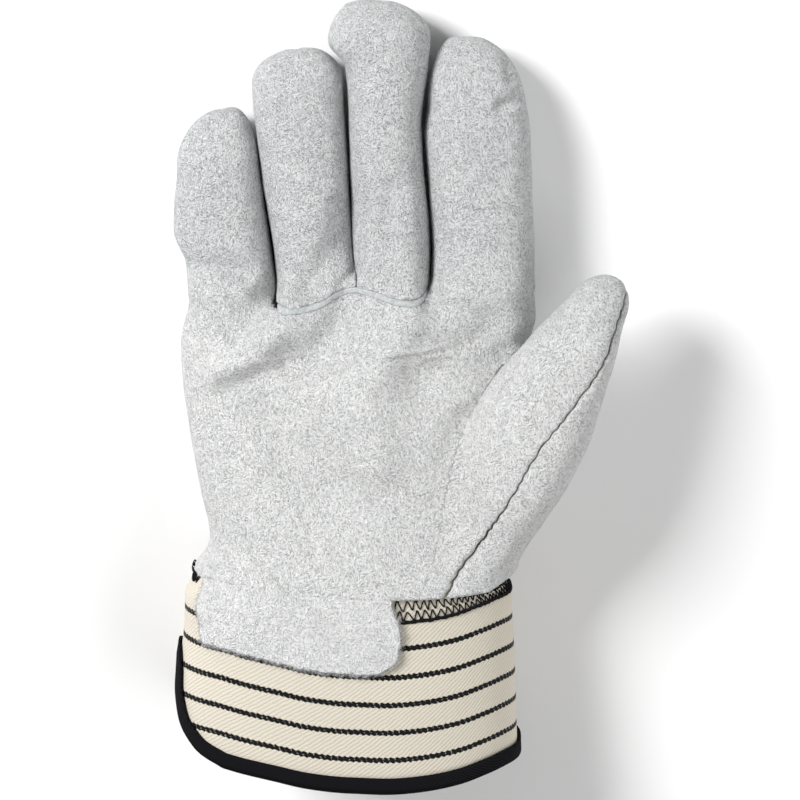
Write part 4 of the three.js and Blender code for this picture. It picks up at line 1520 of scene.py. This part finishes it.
@dataclass
class OverlockSeam:
    """Black overlock stitches between hand and cuff: a thick line and two rows of loops."""

    cuff: CuffForm
    start: float = 0.266
    finish: float = 1.045
    cord_finish: float = 1.02
    line_drop: float = 7.3
    least_height: float = 4.2
    greatest_height: float = 7.8
    loop_pitch: float = 2.3
    thread: float = 0.23
    line_half: float = 0.66
    line_height: float = 0.38
    line_lift: float = 0.3
    line_step: float = 0.4

    def place(self, turn: Array, y: Array, lift: float) -> tuple[Array, Array]:
        """Points on the canvas, or on the leather above its edge.

        Args:
            turn: Places round the cuff.
            y: Places along the glove.
            lift: Distance off the surface.

        Returns:
            The points and unit vectors out of the surface.
        """
        s = self.cuff.sizes
        x = self.cuff.point(turn, y, 0)[..., 0]
        over = eased(y - self.cuff.form.wrist_line(x), -0.5, 0.5)
        out = s.canvas / 2 + lift + over * (s.leather + s.tuck_gap)
        away = self.cuff.point(turn, y, out + 0.5) - self.cuff.point(turn, y, out - 0.5)
        return self.cuff.point(turn, y, out), unit(away)

    def line(self, turn: Array) -> Array:
        """Places along Y of the thick line."""
        return self.cuff.form.sway(turn % 1) - self.line_drop

    def top(self, turn: Array) -> Array:
        """Places along Y of the loops' upper ends."""
        low = self.line(turn)
        edge = self.cuff.form.wrist_line(self.cuff.point(turn, 0, 0)[..., 0])
        return low + np.clip(edge + 0.3 - low, self.least_height, self.greatest_height)

    def cord(self, length: float, random: np.random.Generator) -> Array:
        """Rings of the thick line, knotted at each stitch."""
        count = int(length / self.line_step)
        turn = np.linspace(self.start, self.cord_finish, count)
        phase = np.linspace(0, 2 * math.pi * length / self.loop_pitch, count)
        wander = np.convolve(random.uniform(-0.25, 0.25, count), np.ones(3) / 3, mode="same")
        centre, out = self.place(turn, self.line(turn) + wander, self.line_lift)
        width = self.line_half * (1 + 0.16 * np.sin(phase) + 0.1 * np.sin(phase * 2.3))
        return strand(centre, out, width, self.line_height, 8)

    def loops(self, length: float, low: float, high: float, random: np.random.Generator) -> Array:
        """Rings of one row of loops.

        Args:
            length: Length of the seam.
            low: Share of the height where the row starts.
            high: Share of the height where it ends.
            random: Random numbers for the hand-guided unevenness.

        Returns:
            The rings.
        """
        knots = int(2 * length / self.loop_pitch)
        step = (self.finish - self.start) / knots
        places = self.start + step * (np.arange(knots) + random.uniform(-0.3, 0.3, knots))
        share = np.where(np.arange(knots) % 2 == 0, low, high) + random.uniform(-0.05, 0.05, knots)
        at = np.arange((knots - 1) * 6 + 1) / 6
        turn = np.interp(at, np.arange(knots), places)
        share = np.pad(np.interp(at, np.arange(knots), share), 1, mode="edge")
        share = np.convolve(share, SOFTENING, "valid")
        base = self.line(turn)
        centre, out = self.place(turn, base + (self.top(turn) - base) * share, self.thread)
        return strand(centre, out, self.thread, self.thread, 5)

    def build(self, material: bpy.types.Material) -> None:
        """Makes and dresses the threads."""
        random = np.random.default_rng(11)
        turn = np.linspace(self.start, self.finish, 400)
        line = self.cuff.point(turn, self.line(turn), 0)
        length = float(np.linalg.norm(np.diff(line, axis=0), axis=1).sum())
        rows = [self.loops(length, 0.0, 0.52, random), self.loops(length, 0.46, 1.0, random)]
        dress(strands_mesh("overlock_thread", [self.cord(length, random), *rows]), material, None)


@dataclass
class BaseWelt:
    """Flat piping in the seam across the base of the two middle fingers."""

    shell: LeatherShell
    finer: int = 3
    edge_round: float = 0.5
    reach: float = 6.0

    def crop(self) -> tuple[tuple[slice, ...], Array]:
        """Part of the shell's grid round the seam.

        Returns:
            Slices of the grid and the place of their first point.
        """
        shell = self.shell
        low = np.array([shell.base_left - 2, shell.form.sizes.hand_length - 10, 8.0])
        high = np.array([shell.base_right + 2, shell.form.sizes.hand_length + self.reach, 44.0])
        start = ((low - shell.low) / shell.pitch).astype(int)
        finish = ((high - shell.low) / shell.pitch).astype(int)
        return tuple(slice(a, b) for a, b in zip(start, finish)), shell.low + start * shell.pitch

    def refined(self, values: Array) -> Array:
        """Field on a finer grid, read between the points of the coarse one."""
        for axis in range(3):
            count = values.shape[axis]
            at = np.arange((count - 1) * self.finer + 1) / self.finer
            low = np.minimum(at.astype(int), count - 2)
            shape = [-1 if a == axis else 1 for a in range(3)]
            share = (at - low).reshape(shape)
            values = values.take(low, axis) * (1 - share) + values.take(low + 1, axis) * share
        return values

    def build(self, material: bpy.types.Material) -> None:
        """Makes and dresses the piping."""
        shell, s = self.shell, self.shell.form.sizes
        part, low = self.crop()
        skin = self.refined(shell.base_skin[part].astype(float))
        pitch = shell.pitch / self.finer
        x, y = (low[a] + np.arange(skin.shape[a]) * pitch for a in (0, 1))
        x, y = x[:, None, None], y[None, :, None]
        seam = np.abs(shell.form.welt_line(x) - y) - s.welt_width / 2
        ends = np.maximum(shell.base_left + 0.3 - x, x - shell.base_right + 0.3)
        strip = smooth_most(skin - s.welt_proud, seam, self.edge_round)
        strip = np.maximum(smooth_most(strip, ends, 1.5), -skin - 1.6)
        piece = make_mesh("base_piping", *body_of(strip, low, pitch))
        dress(piece, material, Slot.SUEDE, "base_welt")


class Wiring:
    """Adds and joins the nodes of one tree."""

    def __init__(self, tree: bpy.types.NodeTree) -> None:
        """Keeps the tree.

        Args:
            tree: The material's or group's tree.
        """
        self.tree = tree

    def add(self, kind: str, settings: dict | None = None, **inputs) -> bpy.types.Node:
        """Adds a node.

        Args:
            kind: The node's type.
            settings: Attributes to set on it.
            inputs: Values or sockets for its inputs, with spaces in their names as underscores.

        Returns:
            The node.
        """
        node = self.tree.nodes.new(kind)
        for name, value in (settings or {}).items():
            setattr(node, name, value)
        self.fill(node, **inputs)
        return node

    def fill(self, node: bpy.types.Node, **inputs) -> None:
        """Feeds a node's inputs by name, with spaces as underscores."""
        for name, value in inputs.items():
            self.feed(node.inputs[name.replace("_", " ")], value)

    def feed(self, socket: bpy.types.NodeSocket, value) -> None:
        """Sets an input to a value, or joins a socket to it."""
        if isinstance(value, bpy.types.NodeSocket):
            self.tree.links.new(value, socket)
        else:
            socket.default_value = value

    def math(self, operation: str, *values) -> bpy.types.NodeSocket:
        """Adds a Math node.

        Args:
            operation: Its operation.
            values: Numbers or sockets.

        Returns:
            Its output.
        """
        node = self.tree.nodes.new("ShaderNodeMath")
        node.operation = operation
        for socket, value in zip(node.inputs, values):
            self.feed(socket, value)
        return node.outputs[0]

    def ramp(self, value, low: float, high: float, start: float = 0.0, finish: float = 1.0):
        """Maps a range of values to another, smoothly and clamped.

        Args:
            value: Socket to map.
            low: Value that gives the start.
            high: Value that gives the finish.
            start: First result.
            finish: Last result.

        Returns:
            The mapped socket.
        """
        node = self.tree.nodes.new("ShaderNodeMapRange")
        node.interpolation_type = "SMOOTHSTEP"
        for socket, given in zip(node.inputs, (value, low, high, start, finish)):
            self.feed(socket, given)
        return node.outputs[0]

    def blend(self, mask, first, second) -> bpy.types.NodeSocket:
        """Blends two colours.

        Args:
            mask: Share of the second colour.
            first: Colour or socket.
            second: Colour or socket.

        Returns:
            The blended colour.
        """
        node = self.tree.nodes.new("ShaderNodeMix")
        node.data_type = "RGBA"
        for name, value in (("Factor_Float", mask), ("A_Color", first), ("B_Color", second)):
            socket = next(i for i in node.inputs if i.identifier == name)
            self.feed(socket, value)
        return next(o for o in node.outputs if o.identifier == "Result_Color")

    def mixed(self, share, first, second) -> bpy.types.NodeSocket:
        """Mixes two values by a share."""
        change = self.math("MULTIPLY", share, self.math("SUBTRACT", second, first))
        return self.math("ADD", first, change)

    def scaled(self, vector, factor: float) -> bpy.types.NodeSocket:
        """Vector times a number."""
        settings = {"operation": "SCALE"}
        node = self.add("ShaderNodeVectorMath", settings, Vector=vector, Scale=factor)
        return node.outputs[0]

    def place(self) -> bpy.types.NodeSocket:
        """Places on the piece in metres."""
        return self.add("ShaderNodeTexCoord").outputs["Object"]

    def coordinate(self, vector, axis: str) -> bpy.types.NodeSocket:
        """One coordinate of a vector."""
        return self.add("ShaderNodeSeparateXYZ", Vector=vector).outputs[axis]

    def relief(self, shader: bpy.types.Node, height, distance: float) -> None:
        """Lets a height turn the shader's normals, by a distance in millimetres."""
        bump = self.add("ShaderNodeBump", Height=height, Distance=distance * MILLIMETRE)
        self.feed(shader.inputs["Normal"], bump.outputs["Normal"])

    def noise(self, vector, scale, detail: float, distortion: float = 0.0, roughness: float = 0.55):
        """Noise texture's value.

        Args:
            vector: Places to read.
            scale: Lumps per unit of place.
            detail: How many finer layers it has.
            distortion: How far it is warped.
            roughness: Strength of the finer layers.

        Returns:
            The value's socket.
        """
        node = self.add("ShaderNodeTexNoise", Vector=vector, Scale=scale, Detail=detail)
        self.fill(node, Distortion=distortion, Roughness=roughness)
        return node.outputs["Fac"]


def new_group(name: str, inputs: dict[str, float | None], *outputs: str) -> Wiring:
    """Starts a shader node group.

    Args:
        name: The group's name.
        inputs: Names and first values of its inputs; one with the value None is a vector.
        outputs: Names of its outputs.

    Returns:
        The wiring that fills the group.
    """
    tree = bpy.data.node_groups.new(name, "ShaderNodeTree")
    for label, value in inputs.items():
        kind = "NodeSocketVector" if value is None else "NodeSocketFloat"
        socket = tree.interface.new_socket(label, in_out="INPUT", socket_type=kind)
        if value is not None:
            socket.default_value = value
    for label in outputs:
        tree.interface.new_socket(label, in_out="OUTPUT", socket_type="NodeSocketFloat")
    return Wiring(tree)


def nap_group() -> bpy.types.NodeTree:
    """Raised fibres of split leather: short strokes in three directions, and a broad tone.

    Returns:
        The group, with its height, its shade between the strokes and its tone from 0 to 1:
        a broad random tone and a painted shade, which is deeper at the fingers.
    """
    inputs = {"Stroke Length": 1.7, "Stroke Width": 0.7, "Fibre Size": 0.35}
    wire = new_group("suede_nap", inputs, "Height", "Shade", "Tone")
    given = wire.add("NodeGroupInput").outputs
    scaled = wire.scaled(wire.place(), 1 / MILLIMETRE)
    length, width = given["Stroke Length"], given["Stroke Width"]
    size = wire.add("ShaderNodeCombineXYZ", X=length, Y=width, Z=width).outputs[0]
    strokes = []
    for angle in (-0.85, 0.35, 1.5):
        turned = wire.add("ShaderNodeMapping", {"vector_type": "TEXTURE"}, Vector=scaled)
        wire.fill(turned, Rotation=(0, 0, angle), Scale=size)
        strokes.append(wire.noise(turned.outputs[0], 1.0, 2.0, 0.7, 0.5))
    first = wire.ramp(wire.noise(scaled, 0.22, 1.0), 0.44, 0.56)
    second = wire.ramp(wire.noise(scaled, 0.31, 1.0, 1.0), 0.5, 0.62)
    matted = wire.mixed(first, strokes[0], strokes[1])
    matted = wire.mixed(second, matted, strokes[2])
    fine = wire.noise(scaled, wire.math("DIVIDE", 1.0, given["Fibre Size"]), 2.0, 0.8)
    height = wire.math("MULTIPLY_ADD", fine, 0.16, matted)
    broad = wire.ramp(wire.noise(scaled, 0.075, 3.0, 0.4), 0.3, 0.7)
    # Painted shade: the tone deepens along the glove towards the fingers.
    forward = wire.ramp(wire.coordinate(scaled, "Y"), 8.0, 55.0, 0.0, 0.75)
    tone_and_shade = wire.math("MULTIPLY_ADD", broad, 0.25, forward)
    shade = wire.ramp(height, 0.4, 0.62)
    wire.add("NodeGroupOutput", Height=height, Shade=shade, Tone=tone_and_shade)
    return wire.tree


def twill_group() -> bpy.types.NodeTree:
    """Diagonal ribs of a twill weave over the weave's own directions.

    Returns:
        The group, with the ribs' height and their shade.
    """
    inputs = {"Weave": None, "Rib Pitch": 1.15, "Rib Angle": 0.66, "Yarn Pitch": 0.62}
    wire = new_group("twill", inputs, "Height", "Shade")
    given = wire.add("NodeGroupInput").outputs
    wobble = wire.add("ShaderNodeTexNoise", Vector=given["Weave"], Scale=0.35, Detail=2.0)
    shift = wire.scaled(wobble.outputs["Color"], 0.9)
    moved = wire.add("ShaderNodeVectorMath", {"operation": "ADD"})
    wire.feed(moved.inputs[0], given["Weave"])
    wire.feed(moved.inputs[1], shift)
    u, v = (wire.coordinate(moved.outputs[0], axis) for axis in "XY")
    run = wire.math("COSINE", given["Rib Angle"])
    rise = wire.math("SINE", given["Rib Angle"])
    across = wire.math("SUBTRACT", wire.math("MULTIPLY", v, run), wire.math("MULTIPLY", u, rise))
    along = wire.math("MULTIPLY_ADD", u, run, wire.math("MULTIPLY", v, rise))
    rib_place = wire.math("DIVIDE", across, given["Rib Pitch"])
    rib = wire.math("FRACT", rib_place)
    crown = wire.math("SINE", wire.math("MULTIPLY", rib, math.pi))
    number = wire.math("FLOOR", rib_place)
    yarn_place = wire.math("DIVIDE", along, given["Yarn Pitch"])
    yarn_place = wire.math("MULTIPLY_ADD", number, 0.37, yarn_place)
    yarn = wire.math("ABSOLUTE", wire.math("SINE", wire.math("MULTIPLY", yarn_place, math.pi)))
    fuzz = wire.noise(given["Weave"], 2.4, 3.0, 0.5)
    spun = wire.math("MULTIPLY_ADD", yarn, 0.28, 0.72)
    height = wire.math("MULTIPLY", wire.math("POWER", crown, 0.7), spun)
    height = wire.math("MULTIPLY_ADD", fuzz, 0.9, wire.math("MULTIPLY", height, 0.7))
    wire.add("NodeGroupOutput", Height=height, Shade=wire.ramp(height, 0.45, 1.25))
    return wire.tree


def new_material(name: str) -> tuple[bpy.types.Material, Wiring, bpy.types.Node]:
    """Starts a material.

    Args:
        name: The material's name.

    Returns:
        The material, the wiring of its tree and its surface shader.
    """
    material = bpy.data.materials.new(name)
    material.use_nodes = True
    return material, Wiring(material.node_tree), material.node_tree.nodes["Principled BSDF"]


def place_group(wire: Wiring, tree: bpy.types.NodeTree, **inputs) -> bpy.types.Node:
    """Places a group in a material with its own values.

    Args:
        wire: The material's wiring.
        tree: The group.
        inputs: Values or sockets for the group's inputs.

    Returns:
        The group's node.
    """
    node = wire.add("ShaderNodeGroup", {"node_tree": tree})
    wire.fill(node, **inputs)
    return node


@dataclass(frozen=True)
class SuedeFinish:
    """Pale grey split leather with a raised nap."""

    name: str = "pale_suede"
    light: Colour = (0.99, 0.992, 0.984, 1)
    shade: Colour = (0.54, 0.55, 0.545, 1)
    shaded_crest: Colour = (0.815, 0.825, 0.835, 1)
    shaded_valley: Colour = (0.43, 0.44, 0.445, 1)
    stroke: tuple[float, float] = (1.0, 0.44)
    fibre: float = 0.3
    relief: float = 1.9

    def build(self, nap: bpy.types.NodeTree) -> bpy.types.Material:
        """Makes the material.

        Args:
            nap: The group of the nap.

        Returns:
            The material.
        """
        material, wire, shader = new_material(self.name)
        length, width = self.stroke
        strokes = {"Stroke_Length": length, "Stroke_Width": width, "Fibre_Size": self.fibre}
        fibres = place_group(wire, nap, **strokes).outputs
        # Painted shade: the nap's valleys take the darker shade colour, and towards the fingers the
        # colour blends into a darker copy of the leather, a painted shade.
        lit = wire.blend(fibres["Shade"], self.shade, self.light)
        shaded_copy = wire.blend(fibres["Shade"], self.shaded_valley, self.shaded_crest)
        wire.fill(shader, Base_Color=wire.blend(fibres["Tone"], lit, shaded_copy), Roughness=1.0)
        wire.fill(shader, Specular_IOR_Level=0.1, Sheen_Weight=0.12, Sheen_Roughness=0.6)
        wire.relief(shader, fibres["Height"], self.relief)
        return material


@dataclass(frozen=True)
class PipingFinish:
    """Smooth side of the leather strip in the base seam."""

    name: str = "smooth_piping"
    base: Colour = (0.4, 0.42, 0.424, 1)
    worn: Colour = (0.54, 0.56, 0.563, 1)
    relief: float = 0.15

    def build(self) -> bpy.types.Material:
        """Makes the material."""
        material, wire, shader = new_material(self.name)
        grain = wire.noise(wire.place(), 900.0, 3.0)
        colour = wire.blend(wire.ramp(grain, 0.35, 0.65), self.base, self.worn)
        wire.fill(shader, Base_Color=colour, Roughness=0.75, Specular_IOR_Level=0.25)
        wire.relief(shader, grain, self.relief)
        return material


@dataclass(frozen=True)
class DrillFinish:
    """Natural cotton drill with black woven stripes across its length."""

    name: str = "striped_drill"
    crest: Colour = (0.7, 0.652, 0.555, 1)
    groove_shade: Colour = (0.525, 0.482, 0.4, 1)
    fleck: Colour = (0.6, 0.53, 0.4, 1)
    black: Colour = (0.004, 0.004, 0.005, 1)
    stripes: tuple[float, ...] = (-16.2, -25.7, -35.0, -44.4, -53.8)
    stripe_half: float = 0.88
    stripe_swing: float = 0.16
    chain_pitch: float = 1.87
    relief: float = 0.16

    def build(self, twill: bpy.types.NodeTree) -> bpy.types.Material:
        """Makes the material.

        Args:
            twill: The group of the weave.

        Returns:
            The material.
        """
        material, wire, shader = new_material(self.name)
        laid = wire.add("ShaderNodeUVMap", {"uv_map": "weave"}).outputs[0]
        weave = wire.scaled(laid, 10.0)
        cloth = place_group(wire, twill, Weave=weave).outputs
        # Painted shade: the rib grooves take the darker groove colour.
        cream = wire.blend(cloth["Shade"], self.groove_shade, self.crest)
        flecks = wire.ramp(wire.noise(weave, 0.9, 4.0, 0.0, 0.7), 0.62, 0.72)
        cream = wire.blend(wire.math("MULTIPLY", flecks, 0.35), cream, self.fleck)
        u, v = (wire.coordinate(weave, axis) for axis in "XY")
        ragged = wire.math("MULTIPLY_ADD", wire.noise(weave, 1.6, 2.0), 0.7, -0.35)
        phase = wire.math("MULTIPLY_ADD", v, 0.45, u)
        phase = wire.math("MULTIPLY", phase, 2 * math.pi / self.chain_pitch)
        chain = wire.math("SINE", phase)
        half = wire.math("MULTIPLY_ADD", chain, self.stripe_swing, self.stripe_half)
        half = wire.math("ADD", half, ragged)
        dark = 0.0
        for place in self.stripes:
            away = wire.math("ABSOLUTE", wire.math("SUBTRACT", v, place))
            stripe = wire.ramp(wire.math("SUBTRACT", away, half), -0.12, 0.12, 1.0, 0.0)
            dark = wire.math("MAXIMUM", stripe, dark)
        specks = wire.ramp(wire.noise(weave, 1.9, 2.0), 0.56, 0.62, 0.0, 0.55)
        specks = wire.math("MULTIPLY", specks, wire.ramp(chain, -0.2, -0.8))
        dark = wire.math("MULTIPLY", dark, wire.math("SUBTRACT", 1.0, specks))
        wire.fill(shader, Base_Color=wire.blend(dark, cream, self.black), Roughness=0.95)
        wire.fill(shader, Specular_IOR_Level=0.15, Sheen_Weight=0.12)
        wire.relief(shader, cloth["Height"], self.relief)
        return material


@dataclass(frozen=True)
class BlackFinish:
    """Black cotton: the woven tape or the sewing thread."""

    name: str
    base: Colour = (0.004, 0.004, 0.005, 1)
    crest: Colour = (0.013, 0.013, 0.015, 1)
    rib: float = 0.7
    relief: float = 0.2

    def build(self) -> bpy.types.Material:
        """Makes the material."""
        material, wire, shader = new_material(self.name)
        scaled = wire.scaled(wire.place(), 1 / MILLIMETRE)
        bands = wire.add("ShaderNodeTexWave", {"bands_direction": "DIAGONAL"}, Vector=scaled)
        wire.fill(bands, Scale=self.rib, Distortion=1.5, Detail=2.0)
        ribs = bands.outputs["Fac"]
        # Painted highlight: the rib crests are a little lighter than the black between them.
        colour = wire.blend(ribs, self.base, self.crest)
        wire.fill(shader, Base_Color=colour, Roughness=0.85, Specular_IOR_Level=0.05)
        wire.relief(shader, ribs, self.relief)
        return material


@dataclass(frozen=True)
class FloorFinish:
    """Plain pale paper."""

    name: str = "floor_paper"
    base: Colour = (0.93, 0.93, 0.93, 1)

    def build(self) -> bpy.types.Material:
        """Makes the material."""
        material, wire, shader = new_material(self.name)
        wire.fill(shader, Base_Color=self.base, Roughness=0.9)
        return material


@dataclass
class Studio:
    """Floor, soft lights and the camera."""

    target: Place = (0.0006, -0.0029, 0.022)
    distance: float = 1.0
    tilt: float = 15.0
    lens: float = 134.3
    floor_size: float = 12.0

    def floor(self) -> None:
        """A plain pale floor."""
        half = self.floor_size / 2
        mesh = bpy.data.meshes.new("floor")
        corners = [(-half, -half, 0), (half, -half, 0), (half, half, 0), (-half, half, 0)]
        mesh.from_pydata(corners, [], [(0, 1, 2, 3)])
        mesh.materials.append(FloorFinish().build())
        link("floor", mesh)

    def lamp(self, name: str, place: Place, size: float, power: float) -> None:
        """A square soft light that faces the glove."""
        data = bpy.data.lights.new(name, "AREA")
        data.size = size
        data.energy = power
        lamp = link(name, data)
        lamp.location = place
        towards = Vector(self.target) - Vector(place)
        lamp.rotation_euler = towards.to_track_quat("-Z", "Y").to_euler()

    def lights(self) -> None:
        """A broad key light, a fill and a pale sky."""
        self.lamp("key", (-1.1, 0.8, 1.1), 0.6, 35)
        self.lamp("fill", (1.0, -0.3, 0.85), 1.1, 9.5)
        world = bpy.data.worlds.new("studio")
        world.use_nodes = True
        sky = world.node_tree.nodes["Background"]
        Wiring(world.node_tree).fill(sky, Color=(1, 1, 1, 1), Strength=0.25)
        bpy.context.scene.world = world
        bpy.context.scene.view_settings.view_transform = "Standard"

    def camera(self) -> None:
        """The camera at the photograph's angle."""
        data = bpy.data.cameras.new("camera")
        data.lens = self.lens
        data.sensor_width = 36
        camera = link("camera", data)
        tilt = math.radians(self.tilt)
        away = Vector((0, math.sin(tilt), math.cos(tilt))) * self.distance
        camera.location = Vector(self.target) + away
        camera.rotation_euler = (-tilt, 0, 0)
        bpy.context.scene.camera = camera


def main() -> None:
    """Builds the glove's pieces in order, then the studio."""
    logging.basicConfig(level=logging.INFO, format="%(message)s")
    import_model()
    form = GloveForm(GloveSizes())
    nap = nap_group()
    suede = SuedeFinish().build(nap)
    shell = LeatherShell(form)
    shell.build(suede)
    BaseWelt(shell).build(PipingFinish().build())
    drill = DrillFinish().build(twill_group())
    tape = BlackFinish("black_tape").build()
    cuff = CuffForm(form)
    safety_cuff = SafetyCuff(cuff)
    paler = {"light": (1, 1, 0.995, 1), "shade": (0.7, 0.71, 0.71, 1)}
    pale = SuedeFinish("paler_suede", **paler).build(nap)
    safety_cuff.build(drill, tape, pale)
    NapFibres().build(shell.skins | {"patch_leather": safety_cuff.patch_skin()}, pale)
    thread = BlackFinish("black_thread", crest=(0.03, 0.03, 0.033, 1), rib=2.2).build()
    OverlockSeam(cuff).build(thread)
    studio = Studio()
    studio.floor()
    studio.lights()
    studio.camera()


if __name__ == "__main__":
    main()
